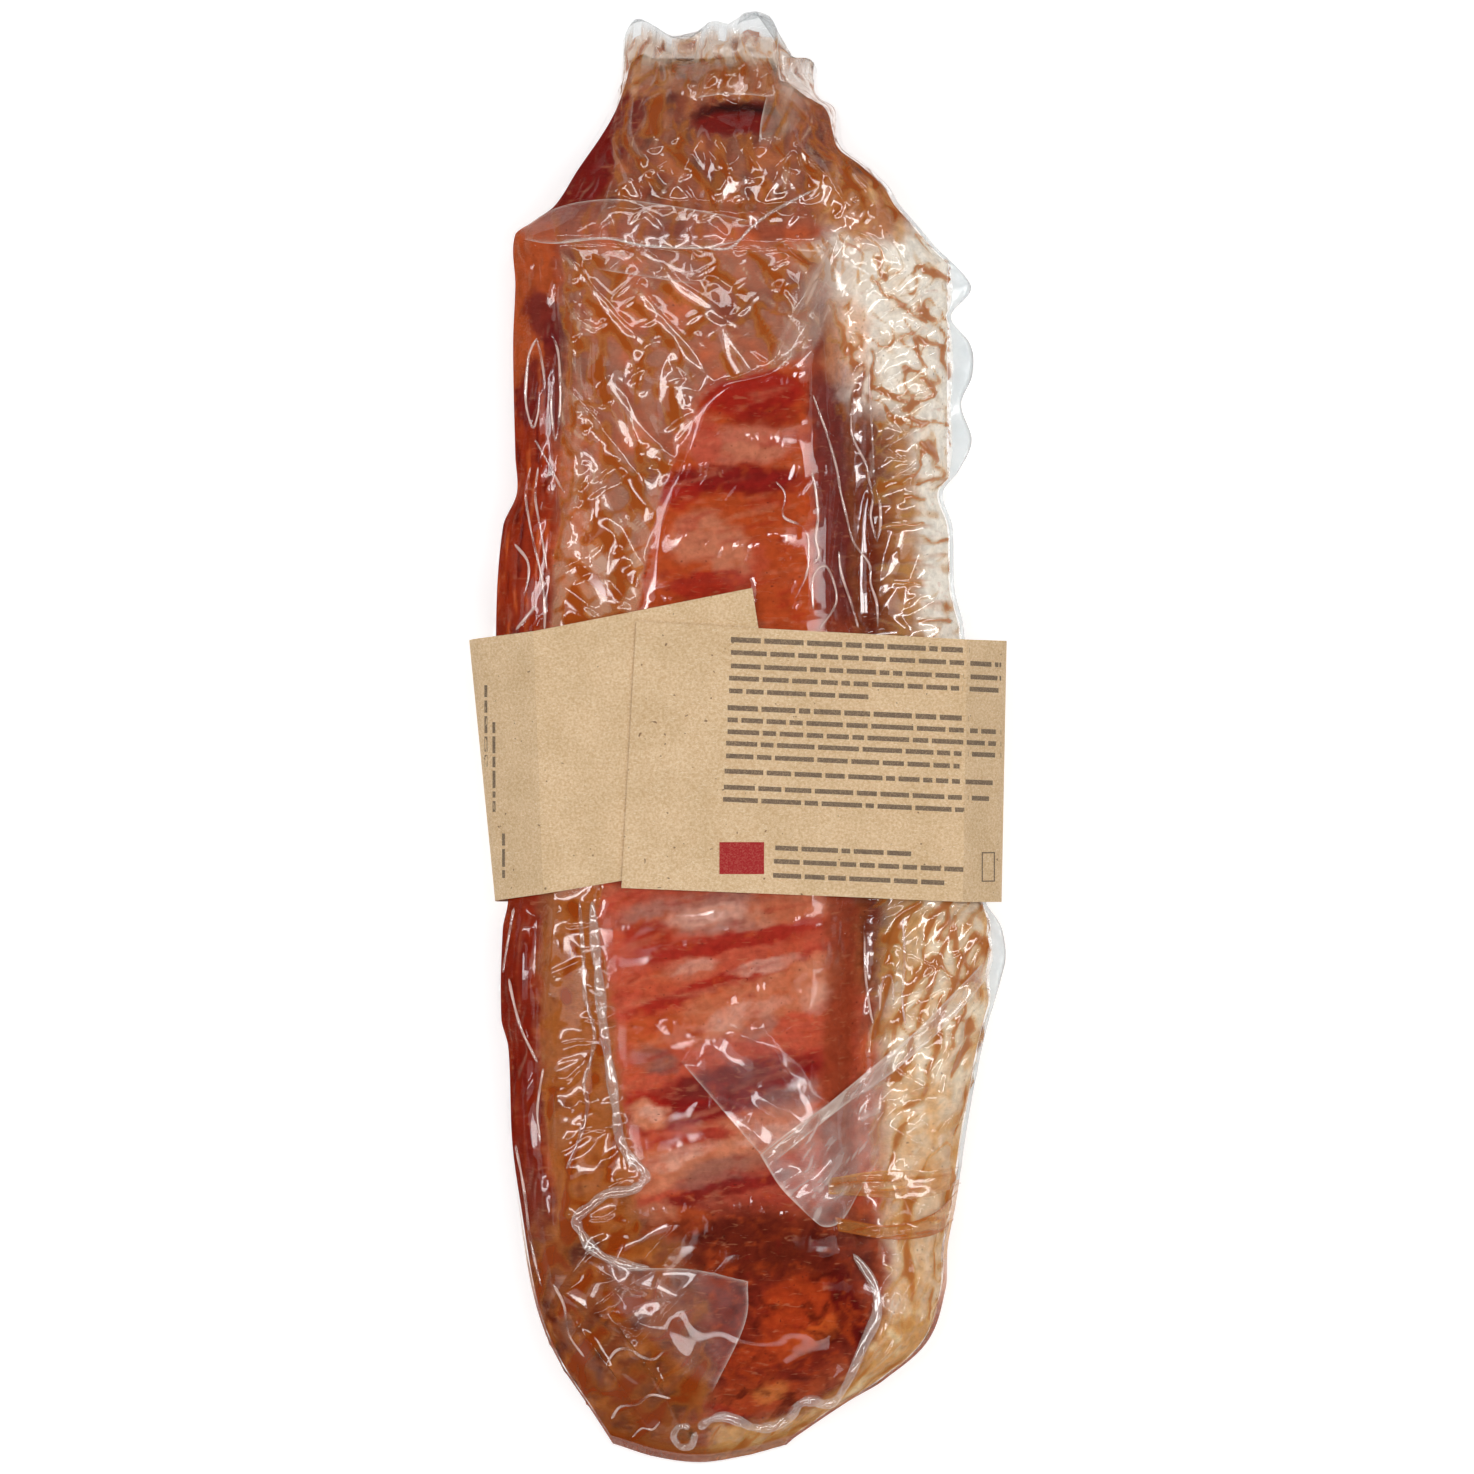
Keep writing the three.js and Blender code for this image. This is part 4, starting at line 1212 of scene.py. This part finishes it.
# Rolled edges of the film: name, radius, haze and the points that each passes.
BEADS = [
    ("left_bead", 1.35, 0.2, [
        (-39.2, -44), (-38.4, -55.1), (-37.3, -65.1), (-36.2, -77.2), (-34.5, -88.2), (-32.9, -99.2),
        (-31.8, -107.5), (-29, -113), (-25.1, -116.9), (-25.6, -119.4), (-28.6, -121.6), (-35.3, -122.7),
        (-39.7, -126), (-43.3, -129.3), (-42, -133.3), (-38, -138.3), (-30.8, -141.6), (-23.5, -142.7),
    ]),
    ("inner_bead", 0.55, 0.1, [
        (-42.6, -44), (-41.6, -58), (-41, -70), (-38.6, -79), (-39.4, -86), (-41.4, -93), (-40.4, -99),
        (-42.6, -108), (-46, -116),
    ]),
    ("foot_bead", 1.25, 0.2, [
        (-10.7, -186.6), (-8, -184.4), (-4, -183.2), (0.5, -184.6), (4.4, -186.4), (9, -186.2),
        (13.8, -183.6), (16.6, -179.8), (20.2, -178.8), (23.4, -180), (26.6, -178.4), (29.8, -173),
        (33.6, -164), (37.4, -155), (36.4, -147), (31, -139),
    ]),
    ("foot_ring", 0.9, 0.2, [
        (-11.4, -187.6), (-12.6, -191.4), (-15.6, -191.8), (-17.4, -189), (-16, -186.2), (-12.8, -186),
    ]),
    ("collar_edge", 0.4, 0.25, [
        (-49.8, 132.8), (-35.7, 134), (-25, 132), (-9.3, 131.4), (-2, 131.6), (3.7, 137), (10, 141.6),
        (20, 147),
    ]),
]

# Long raised creases, made milky white as painted highlight lines: X and Y of the points that each passes.
CREASES = [
    # the left side, above the sleeve
    [(-54.2, 107.4), (-56.3, 102.7), (-57.2, 93.2), (-56.8, 88), (-55.2, 83.3), (-53.8, 87.2),
     (-53.3, 92.3), (-52, 94.5), (-52.9, 101.8), (-54.2, 107.4)],
    [(-50.3, 109.1), (-48.4, 103.5), (-47.8, 94.9), (-48, 86.3), (-49, 79.9), (-50.1, 86.3),
     (-50.3, 92.3)],
    [(-54.6, 80), (-51.2, 73.9), (-48.2, 68.3), (-46.5, 65.7)],
    [(-55.9, 72.6), (-57.2, 65.7), (-56.3, 58.8), (-55.1, 52.8), (-52.9, 43.4), (-52, 34.8), (-52, 28.8)],
    [(-53.8, 72.6), (-54.6, 64.9), (-53, 55.4), (-51.4, 45.1)],
    [(-60.2, 52), (-56.8, 47.7), (-56.3, 43.4), (-57.5, 38)],
    [(-59.8, 28.8), (-54.2, 35.6)],
    # beside the upper window
    [(20.2, 91.8), (21.8, 87.2), (23.8, 81.9), (26.5, 72.6), (27.5, 66.6), (29.1, 60), (31.1, 52.7),
     (35.4, 46.7), (35.8, 41.4), (37.4, 36.1), (37.7, 29.5)],
    [(31.1, 91.8), (30.5, 85.8), (31.1, 80.5), (34.4, 73.9), (35.4, 69.3), (36.4, 64.6), (35.8, 59.3),
     (37.4, 52.7)],
    [(35.4, 98.4), (35.8, 89.2), (36.3, 79.2), (36.8, 69.3), (38.2, 63.3), (38.4, 56.7), (37.4, 52.7)],
    [(19.9, 71.3), (20.9, 66), (21.5, 59.3), (20.9, 53.4), (21.8, 48.7), (20.2, 46.7)],
    [(10.2, 68.6), (12.6, 65.3), (12.2, 59.3), (16.9, 56.7), (18.9, 52.7), (18.5, 44.1), (15.2, 36.8)],
    [(20.2, 34.1), (20.2, 42.8), (23.8, 45.7), (26.5, 36.8), (21.8, 28.8)],
    [(27.1, 50), (27.8, 44.1), (30.5, 36.1), (32.4, 29.5)],
    # beside the lower rack
    [(34.1, -50.1), (34.4, -63.8), (35.7, -73.9), (36.6, -77.6)],
    [(44.4, -48.8), (44.8, -60.1), (44.2, -70.1), (45.1, -77.6)],
    [(38.2, -73.9), (38.8, -66.3), (41.3, -64.5), (41.9, -71.4)],
    # the left side, below the sleeve
    [(-63.4, -63.6), (-62.4, -57.2), (-60.4, -46)],
    [(-61.8, -65.2), (-60, -73.2), (-58, -79.6), (-54, -87.6)],
    [(-60, -110), (-57.6, -122.8), (-56, -135.7), (-53, -148)],
    [(-53.2, -110), (-54, -100.4), (-52.4, -89.2)],
    [(-49.6, -147.3), (-46.8, -153), (-45.4, -161), (-41.4, -167)],
    # round the foot
    [(-35.4, -168.6), (-32.8, -165), (-29.2, -164.4), (-25.7, -166.6), (-22.4, -167.2), (-19.7, -164.8)],
    [(-34.2, -184.5), (-31.8, -180.9), (-27.2, -179.8), (-23.4, -177.2), (-18.2, -178.1)],
    [(-28.6, -189.6), (-25.9, -186.8), (-23, -187), (-21, -184.6)],
]
# radius of each crease, and the milky white painted on it as a highlight line
CREASE_RADIUS, CREASE_HIGHLIGHT_WHITE = 0.34, 0.5
BEAD_FLATNESS = 0.75       # height of a rolled edge to its width


class Ground:
    """Heights of a piece, in millimetres, seen from above."""

    def __init__(self, piece):
        mesh = piece.data
        corners = [v.co.copy() for v in mesh.vertices]
        self.tree = BVHTree.FromPolygons(corners, [tuple(p.vertices) for p in mesh.polygons])

    def heights(self, x, y):
        flat = [self._height(a, b) for a, b in zip(np.ravel(x), np.ravel(y))]
        return np.array(flat).reshape(np.shape(x))

    def _height(self, x, y):
        hit = self.tree.ray_cast(Vector((x * MM, y * MM, 1.0)), Vector((0, 0, -1)))[0]
        return hit.z / MM if hit else 0.0


def evenly(values, count):
    """A smooth curve through the rows of an array, in equal steps of its row number."""
    places = np.linspace(0, len(values) - 1, count)
    flat = values.reshape(len(values), -1)
    columns = [through(list(enumerate(column)))(places) for column in flat.T]
    return np.stack(columns, axis=1).reshape(count, *values.shape[1:])


def soften(z, turns):
    for _ in range(turns):
        wide = np.pad(z, 1, mode="edge")
        z = (wide[:-2, 1:-1] + wide[2:, 1:-1] + wide[1:-1, :-2] + wide[1:-1, 2:] + 2 * z) / 6
    return z


def grid_faces(rows, columns):
    i, k = np.meshgrid(np.arange(rows - 1), np.arange(columns - 1), indexing="ij")
    a = i * columns + k
    return np.stack([a, a + 1, a + columns + 1, a + columns], axis=2).reshape(-1, 4).tolist()


def facing_up(x, y, faces):
    """The faces of a grid, turned over if its rows and columns run the other way round."""
    along, across = (x[-1] - x[0]).mean(), (y[:, -1] - y[:, 0]).mean()
    down, over = (y[-1] - y[0]).mean(), (x[:, -1] - x[:, 0]).mean()
    return faces if over * down - across * along > 0 else [face[::-1] for face in faces]


def edge_distances(points):
    """Millimetres from each point of a grid to its four edges."""
    down = np.linalg.norm(np.diff(points, axis=0, prepend=points[:1]), axis=2).cumsum(axis=0)
    over = np.linalg.norm(np.diff(points, axis=1, prepend=points[:, :1]), axis=2).cumsum(axis=1)
    return down, down[-1:] - down, over, over[:, -1:] - over


def sheet_grid(rows):
    """Even points over a flap, through its few given ones."""
    rows = np.array(rows, float)
    tall = np.linalg.norm(rows[-1] - rows[0], axis=1).max()
    wide = np.linalg.norm(np.diff(rows[0], axis=0), axis=1).sum()
    down, over = round(tall / SHEET_STEP) + 3, round(wide / SHEET_STEP) + 3
    return evenly(evenly(rows, down).transpose(1, 0, 2), over).transpose(1, 0, 2)


def sheet_edges(flat, free):
    """0 to 1 from a flap's joined edges inwards, and 1 along its free edges."""
    fade, rim = np.ones(flat.shape[:2]), np.zeros(flat.shape[:2])
    for away, is_free in zip(edge_distances(flat), free):
        if is_free:
            rim = np.maximum(rim, bump(away, SHEET_RIM))
        else:
            fade = fade * smoothstep(away, 0, SHEET_JOIN)
    return fade, rim


def make_sheet(ground, material, name, rows, lift, haze, milk, wash, fold, free):
    """A loose flap of film that lies on the pack."""
    flat = sheet_grid(rows)
    x, y = flat[..., 0], flat[..., 1]
    turn, long, wide, height = fold
    rise, to_crease = folded(x, y, turn, long, wide, len(name) * 13 + 301)
    fade, rim = sheet_edges(flat, free)
    lifted = lerp(lift[0], lift[1], np.linspace(0, 1, len(x))[:, None])
    z = soften(ground.heights(x, y), SHEET_SMOOTHING) + lifted * lerp(0.5, 1, fade) + height * rise * fade
    sheet = mesh_object(name, np.stack([x, y, z], axis=2), facing_up(x, y, grid_faces(*x.shape)))
    milks = filled(x.shape, milk)
    paint(milks, (rim, (244, 226, 214)))
    streaks = wisps(x, y, turn, len(name) * 7 + 401)
    veil = (haze * (0.45 + 0.5 * rise + 0.9 * streaks + 0.5 * cloud(x / 6, y / 6, 307)) + 0.3 * rim) * fade
    pooled = smoothstep(cloud(x / 8, y / 5, 309), -0.6, 0.3)
    amber = (wash * pooled + 0.35 * bump(to_crease, CREASE_SHARE * wide) * (wash > 0)) * fade
    amber = amber * (1 - rim) + rim * smoothstep(wash, 0.4, 0.5)
    veil, amber = np.clip(veil, 0, 0.9), np.clip(amber, 0, 1)
    return dress_film(sheet, material, veil, amber, milks, SHEET_SHINE * fade)


def tube(ground, radius, points, rest, corners):
    """Rings of points round a thin roll of film on the pack; rest is its middle's height, in radii."""
    points = np.array(points, float)
    length = np.linalg.norm(np.diff(points, axis=0), axis=1).sum()
    path = evenly(points, max(4, round(length / 0.7)))
    z = soften(ground.heights(path[:, :1], path[:, 1:]), 3)[:, 0] + radius * rest
    path = np.column_stack([path, z])
    along = np.gradient(path, axis=0)
    along /= np.linalg.norm(along, axis=1, keepdims=True)
    side = np.cross(along, [0, 0, 1.0])
    side /= np.linalg.norm(side, axis=1, keepdims=True)
    up = np.cross(side, along)
    t = np.linspace(0, 1, len(path))
    uneven = 1 + 0.4 * noise(t * length / 5, t * 0 + points[0, 1], 311)
    thick = radius * uneven * swell(t, 0.05) * swell(1 - t, 0.05)
    angles = np.linspace(0, 2 * np.pi, corners, endpoint=False)
    across, above = (np.sign(c) * np.abs(c) ** 0.8 for c in (np.cos(angles), np.sin(angles)))
    section = across[None, :, None] * side[:, None] + BEAD_FLATNESS * above[None, :, None] * up[:, None]
    return path[:, None] + np.maximum(thick, 0.08)[:, None, None] * section


def dress_tube(piece, material, haze, milk):
    return dress_film(piece, material, haze, np.zeros_like(haze), filled(haze.shape, milk), 1.0)


def make_bead(ground, material, name, radius, haze, points):
    rings = tube(ground, radius, points, 0.5, 16)
    bead = mesh_object(name, rings, ring_faces(*rings.shape[:2]))
    return dress_tube(bead, material, np.full(rings.shape[:2], haze), (238, 218, 208))


def make_highlight_creases(ground, material):
    tubes = [tube(ground, CREASE_RADIUS, points, 0.3, 8) for points in CREASES]
    points, faces = join([(rings.reshape(-1, 3), ring_faces(*rings.shape[:2])) for rings in tubes])
    creases = mesh_object("painted_highlight_creases", points, faces)
    # painted highlight: milky white along each crease, fading here and there
    fading = smoothstep(noise(points[:, 0] / 5, points[:, 1] / 7, 313), -0.6, 0.4)
    return dress_tube(creases, material, CREASE_HIGHLIGHT_WHITE * fading, (250, 218, 206))


# ---- the sleeve

NOSE_HEIGHT = 17.5         # height at which the side walls stand out furthest
UNDER_LAYER, TOP_LAYER = 35.25, 36.05   # heights of the card's two layers on top
CREASE_DROP = 1.6          # how much lower the right crease lies
# Both edges of the band: X of what lies at the edge's own Y, or X and Y of a point on top.
UPPER_EDGE = {
    "y": 25.9, "inner_end": (3.8, 40), "left_crease": (-54.8, 28.4), "left_nose": -76, "left_fold": -63.5,
    "right_fold": 63, "right_nose": 75.2, "right_crease": (61.3, 26.2), "outer_end": (-27.3, 31),
}
LOWER_EDGE = {
    "y": -44.6, "inner_end": (14.8, -30.8), "left_crease": (-52.1, -42.1), "left_nose": -68.4,
    "left_fold": -57, "right_fold": 61.5, "right_nose": 73.8, "right_crease": (60.2, -44.3),
    "outer_end": (-31.3, -40.5),
}
WRAP_STEPS = 14            # steps round each rounded side
ACROSS_CARD = 36           # steps across the band
SPANS = {"inner": 16, "base": 12, "outer": 14, "end": 10}   # steps along its flat stretches


def turn_points(crease, nose, fold):
    """The side wall from a crease on top to the fold below, rounded at its nose."""
    start, stop = lerp(crease, nose, 0.65), lerp(fold, nose, 0.45)
    t = np.linspace(0, 1, WRAP_STEPS + 1)[:, None]
    curve = (1 - t) ** 2 * start + 2 * t * (1 - t) * nose + t**2 * stop
    return np.vstack([crease, curve, fold])


def divide(points, counts):
    """More points on each straight stretch."""
    out = [points[:1]]
    for a, b, count in zip(points[:-1], points[1:], counts):
        t = np.linspace(0, 1, count + 1)[1:, None]
        out.append(lerp(a, b, t))
    return np.vstack(out)


def card_line(edge):
    """Middle line of one edge of the card, from its inner end round the pack to its outer end."""
    def at(x, height, y=edge["y"]):
        return np.array([x, y, height], float)

    def on_top(place, height):
        return at(place[0], height, place[1])

    def climb(x, height, share):
        return at(x, height, lerp(edge["right_crease"][1], edge["outer_end"][1], share))

    base = CARD / 2
    left = turn_points(on_top(edge["left_crease"], UNDER_LAYER), at(edge["left_nose"], NOSE_HEIGHT),
                       at(edge["left_fold"], base))
    right = turn_points(on_top(edge["right_crease"], UNDER_LAYER - CREASE_DROP),
                        at(edge["right_nose"], NOSE_HEIGHT), at(edge["right_fold"], base))[::-1]
    stations = np.vstack([
        on_top(edge["inner_end"], UNDER_LAYER), left, right,
        climb(26, UNDER_LAYER + 0.1, 0.4), climb(16.5, TOP_LAYER, 0.5), on_top(edge["outer_end"], TOP_LAYER),
    ])
    turn = [1] + [1] * WRAP_STEPS
    counts = [SPANS["inner"], *turn, 1, SPANS["base"], 1, *turn, SPANS["outer"], 4, SPANS["end"]]
    return divide(stations, counts)


def card_offsets(line):
    """Directions square to the card along its middle line."""
    before, after = np.roll(line, 1, axis=0), np.roll(line, -1, axis=0)
    before[0], after[-1] = line[0], line[-1]
    along = after - before
    square = np.stack([along[:, 2], np.zeros(len(line)), -along[:, 0]], axis=1)
    return square / np.linalg.norm(square, axis=1, keepdims=True)


def card_surface(side):
    """Rows of points along the band, on one side (-1 inner, 1 outer) of the card."""
    upper, lower = card_line(UPPER_EDGE), card_line(LOWER_EDGE)
    t = np.linspace(0, 1, ACROSS_CARD + 1)[None, :, None]
    middle = lerp(upper[:, None], lower[:, None], t)
    square = lerp(card_offsets(upper)[:, None], card_offsets(lower)[:, None], t)
    wave = 0.12 * noise(middle[..., 0] / 26, middle[..., 1] / 22, 131) * (middle[..., 2] > 30)
    points = middle + square * side * CARD / 2
    points[..., 2] = np.maximum(points[..., 2] - np.abs(wave), 0)
    return points


def card_material():
    n = Nodes("kraft_card")
    base = n.mix(n.ramp(n.noise(90, detail=4), 0.3, 0.7), rgb(210, 181, 142), rgb(219, 190, 152))
    grain = n.mix(n.ramp(n.noise(1500, detail=3, rough=0.7), 0.3, 0.7), (0.87, 0.78, 0.69), (1.1, 1.13, 1.17))
    colour = n.mix(1.0, base, grain, "MULTIPLY")
    # Pale fibres in three directions, each a little finer than the one before, then dark ones.
    for turn, kind in ((0.4, 1.0), (-0.7, 3.0), (1.4, 5.0)):
        place = n.where((900 * kind**0.1, 5200, 900), turn)
        strand = n.ramp(n.noise(1.0, place, detail=2, distortion=0.8), 0.63, 0.72, 0, 0.55)
        colour = n.mix(strand, colour, rgb(240, 224, 196))
    dark_place = n.where((1100, 3600, 1100), 0.9)
    dark = n.ramp(n.noise(1.0, dark_place, detail=2, distortion=0.6), 0.70, 0.77, 0, 0.6)
    colour = n.mix(dark, colour, rgb(150, 104, 64))
    specks = n.ramp(n.noise(650, detail=1), 0.74, 0.79, 0, 0.75)
    colour = n.mix(specks, colour, rgb(104, 70, 46))
    relief = n.bump(n.noise(1800, detail=4), 0.00012, 0.6)
    return n.finish(n.add("BsdfPrincipled", {
        "Base Color": colour, "Roughness": n.ramp(n.noise(300), 0.3, 0.7, 0.78, 0.92), "Normal": relief,
        "Specular IOR Level": 0.25,
    }))


def make_sleeve():
    inner, outer = card_surface(-1), card_surface(1)
    rings = np.concatenate([inner, outer[:, ::-1]], axis=1)
    sleeve = mesh_object("kraft_sleeve", rings, ring_faces(*rings.shape[:2]))
    sleeve.data.set_sharp_from_angle(angle=math.radians(24))
    sleeve.data.materials.append(card_material())
    return sleeve


# ---- print on the sleeve

PRINT_SLOPE = -0.045       # the lines of print fall a little to the right
PRINT_LIFT = 0.05          # how far it lies above the card
PRINT_STEP = 2.0           # between its points, so that it follows the card
LINE_HEIGHT = 1.15         # of a bar
# Lines of print: Y at the left end, X from and to, and how strong.
PRINT_LINES = [
    (25.6, -1.9, 62.2, 2), (22.1, -1.9, 71, 1), (18.5, -1.9, 71, 1), (15.2, -2.4, 71, 1), (11.8, -2.4, 35, 1),
    (7.3, -2.8, 62, 2), (4.0, -2.8, 71, 1), (0.8, -2.8, 71, 1), (-2.3, -3.2, 71, 1), (-5.7, -3.2, 59.5, 1),
    (-9.8, -3.6, 69.4, 1), (-14.1, -3.8, 67.6, 1), (-17.4, -4, 60.8, 1),
    (-29.8, 10, 46.5, 1), (-33.4, 9.6, 60.5, 1), (-37.2, 9.4, 55.4, 1),
]
PLAIN_MARK = (-5, 7, -36.8, -28.2)   # the plain red field: X from and to, Y from and to
FRAME_MARK = (65.6, 69.3, -39, -31)  # a small empty frame, the same way
FRAME_LINE = 0.35                    # width of its lines
SIDE_MARKS = [(-68.4, 14, -8), (-66.2, 4, -22), (-63.6, -26, -38)]  # X, and Y from and to


def stamp(ground, x0, x1, y0, y1, slope=0.0):
    """Points and faces of a flat mark that lies on the card."""
    steps = max(1, round((x1 - x0) / PRINT_STEP))
    x = np.linspace(x0, x1, steps + 1)
    shift = slope * x
    x, y = np.stack([x, x]), np.stack([y0 + shift, y1 + shift])
    z = ground.heights(x, y) + PRINT_LIFT
    return np.stack([x, y, z], axis=2).reshape(-1, 3), grid_faces(2, steps + 1)


def join(parts):
    """The points and faces of several parts, as those of one."""
    points, faces, start = [], [], 0
    for some_points, some_faces in parts:
        points.append(some_points)
        faces += [[start + corner for corner in face] for face in some_faces]
        start += len(some_points)
    return np.vstack(points), faces


def bar_marks(ground):
    """Rows of grey bars of random length, and a small empty frame."""
    rng = np.random.default_rng(7)
    parts = []
    for y, x_from, x_to, weight in PRINT_LINES:
        x = x_from
        while x < x_to - 1.5:
            stop = min(x + rng.uniform(2.2, 11.5), x_to)
            parts.append(stamp(ground, x, stop, y - weight * 0.12, y + LINE_HEIGHT, PRINT_SLOPE))
            x = stop + 0.95
    for x, y_from, y_to in SIDE_MARKS:
        y = y_from
        while y > y_to + 1.5:
            stop = max(y - rng.uniform(1.4, 5), y_to)
            parts.append(stamp(ground, x, x + 0.8, stop, y))
            y = stop - 0.9
    x0, x1, y0, y1 = FRAME_MARK
    t = FRAME_LINE
    frame_lines = (x0, x1, y0, y0 + t), (x0, x1, y1 - t, y1), (x0, x0 + t, y0, y1), (x1 - t, x1, y0, y1)
    parts += [stamp(ground, *limits) for limits in frame_lines]
    return join(parts)


def ink_material(name, colour, worn):
    """Ink on card: the card's fibres show through it here and there."""
    n = Nodes(name)
    wear = n.ramp(n.noise(2600, detail=3, rough=0.7), 0.42, 0.7, 0, 0.7)
    look = n.mix(wear, colour, worn)
    relief = n.bump(n.noise(1800, detail=3), 0.0001, 0.4)
    return n.finish(n.add("BsdfPrincipled", {
        "Base Color": look, "Roughness": 0.75, "Specular IOR Level": 0.2, "Normal": relief,
    }))


def make_print(ground):
    bars = mesh_object("print_bars", *bar_marks(ground))
    bars.data.materials.append(ink_material("grey_ink", rgb(112, 94, 78), rgb(176, 150, 118)))
    field = mesh_object("plain_field", *stamp(ground, *PLAIN_MARK))
    field.data.materials.append(ink_material("red_ink", rgb(160, 34, 36), rgb(186, 92, 80)))
    return [bars, field]


# ---- stage

VIEW_WIDTH = 398.0         # what the photograph's frame takes in
CAMERA_HEIGHT = 2600.0     # above the pack's middle
FLOOR_REACH = 3000.0       # from the middle to each edge of the floor
# Name, place, size and power of each lamp: a bright core within each of the two side boxes.
SOFTBOXES = [
    ("left_core", (-660, 0, 1130), (110, 1300), 5.4),
    ("left_box", (-662, 0, 1133), (330, 1300), 1.7),
    ("right_core", (660, 60, 1130), (110, 1300), 5.4),
    ("right_box", (662, 60, 1133), (330, 1300), 1.7),
    ("top_box", (60, 760, 1100), (1200, 120), 3.3),
    ("bottom_box", (-60, -760, 1100), (1200, 120), 3.3),
]


def make_floor():
    a = FLOOR_REACH
    floor = mesh_object("floor", [(-a, -a, 0), (a, -a, 0), (a, a, 0), (-a, a, 0)], [(0, 1, 2, 3)])
    floor.location.z = -0.0002
    n = Nodes("pale_floor")
    white = n.mix(n.noise(3), (0.6, 0.6, 0.6), (0.63, 0.63, 0.63))
    floor.data.materials.append(n.finish(n.add("BsdfPrincipled", {
        "Base Color": white, "Roughness": 0.9, "Specular IOR Level": 0.1,
        "Emission Color": (1, 1, 1), "Emission Strength": 0.6,
    })))


def make_light(name, place, size, power):
    light = bpy.data.lights.new(name, "AREA")
    light.shape = "RECTANGLE"
    light.size, light.size_y = size[0] * MM, size[1] * MM
    light.energy = power
    lamp = bpy.data.objects.new(name, light)
    bpy.context.scene.collection.objects.link(lamp)
    lamp.location = [c * MM for c in place]
    aim = -lamp.location.normalized()
    lamp.rotation_mode = "QUATERNION"
    lamp.rotation_quaternion = aim.to_track_quat("-Z", "Y")


def make_world():
    world = bpy.data.worlds.new("studio")
    world.use_nodes = True
    nodes, links = world.node_tree.nodes, world.node_tree.links
    direction = nodes.new("ShaderNodeTexCoord").outputs["Generated"]
    height = nodes.new("ShaderNodeSeparateXYZ")
    glow = nodes.new("ShaderNodeMapRange")
    for name, value in (("From Min", 0.1), ("From Max", 0.8), ("To Min", 0.2), ("To Max", 0.02)):
        glow.inputs[name].default_value = value
    links.new(direction, height.inputs[0])
    links.new(height.outputs["Z"], glow.inputs["Value"])
    links.new(glow.outputs[0], nodes["Background"].inputs["Strength"])
    nodes["Background"].inputs["Color"].default_value = (1, 1, 1, 1)
    bpy.context.scene.world = world


def make_camera():
    camera = bpy.data.cameras.new("camera")
    camera.sensor_width = 36
    camera.lens = camera.sensor_width * CAMERA_HEIGHT / VIEW_WIDTH
    camera.clip_end = 20
    eye = bpy.data.objects.new("camera", camera)
    bpy.context.scene.collection.objects.link(eye)
    eye.location = (-0.27 * MM, 0, (CAMERA_HEIGHT + 20) * MM)
    bpy.context.scene.camera = eye


# ---- putting it together


def hand_over(pieces, node):
    for piece in pieces:
        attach(piece, "root")
        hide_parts(node)


def build():
    make_camera()
    make_world()
    make_floor()
    for box in SOFTBOXES:
        make_light(*box)
    grid = BagGrid()
    film_look = film_material()
    film = make_film(grid, film_look)
    ground = Ground(film)
    sheets = [make_sheet(ground, film_look, *sheet) for sheet in SHEETS]
    beads = [make_bead(ground, film_look, *bead) for bead in BEADS]
    beads.append(make_highlight_creases(ground, film_look))
    sleeve = make_sleeve()
    print_marks = make_print(Ground(sleeve))
    hand_over([film, make_contents(grid), *sheets, *beads], "vacuum_bag")
    hand_over([sleeve, *print_marks], "card_sleeve")
    bpy.context.scene.view_settings.view_transform = "Standard"


build()
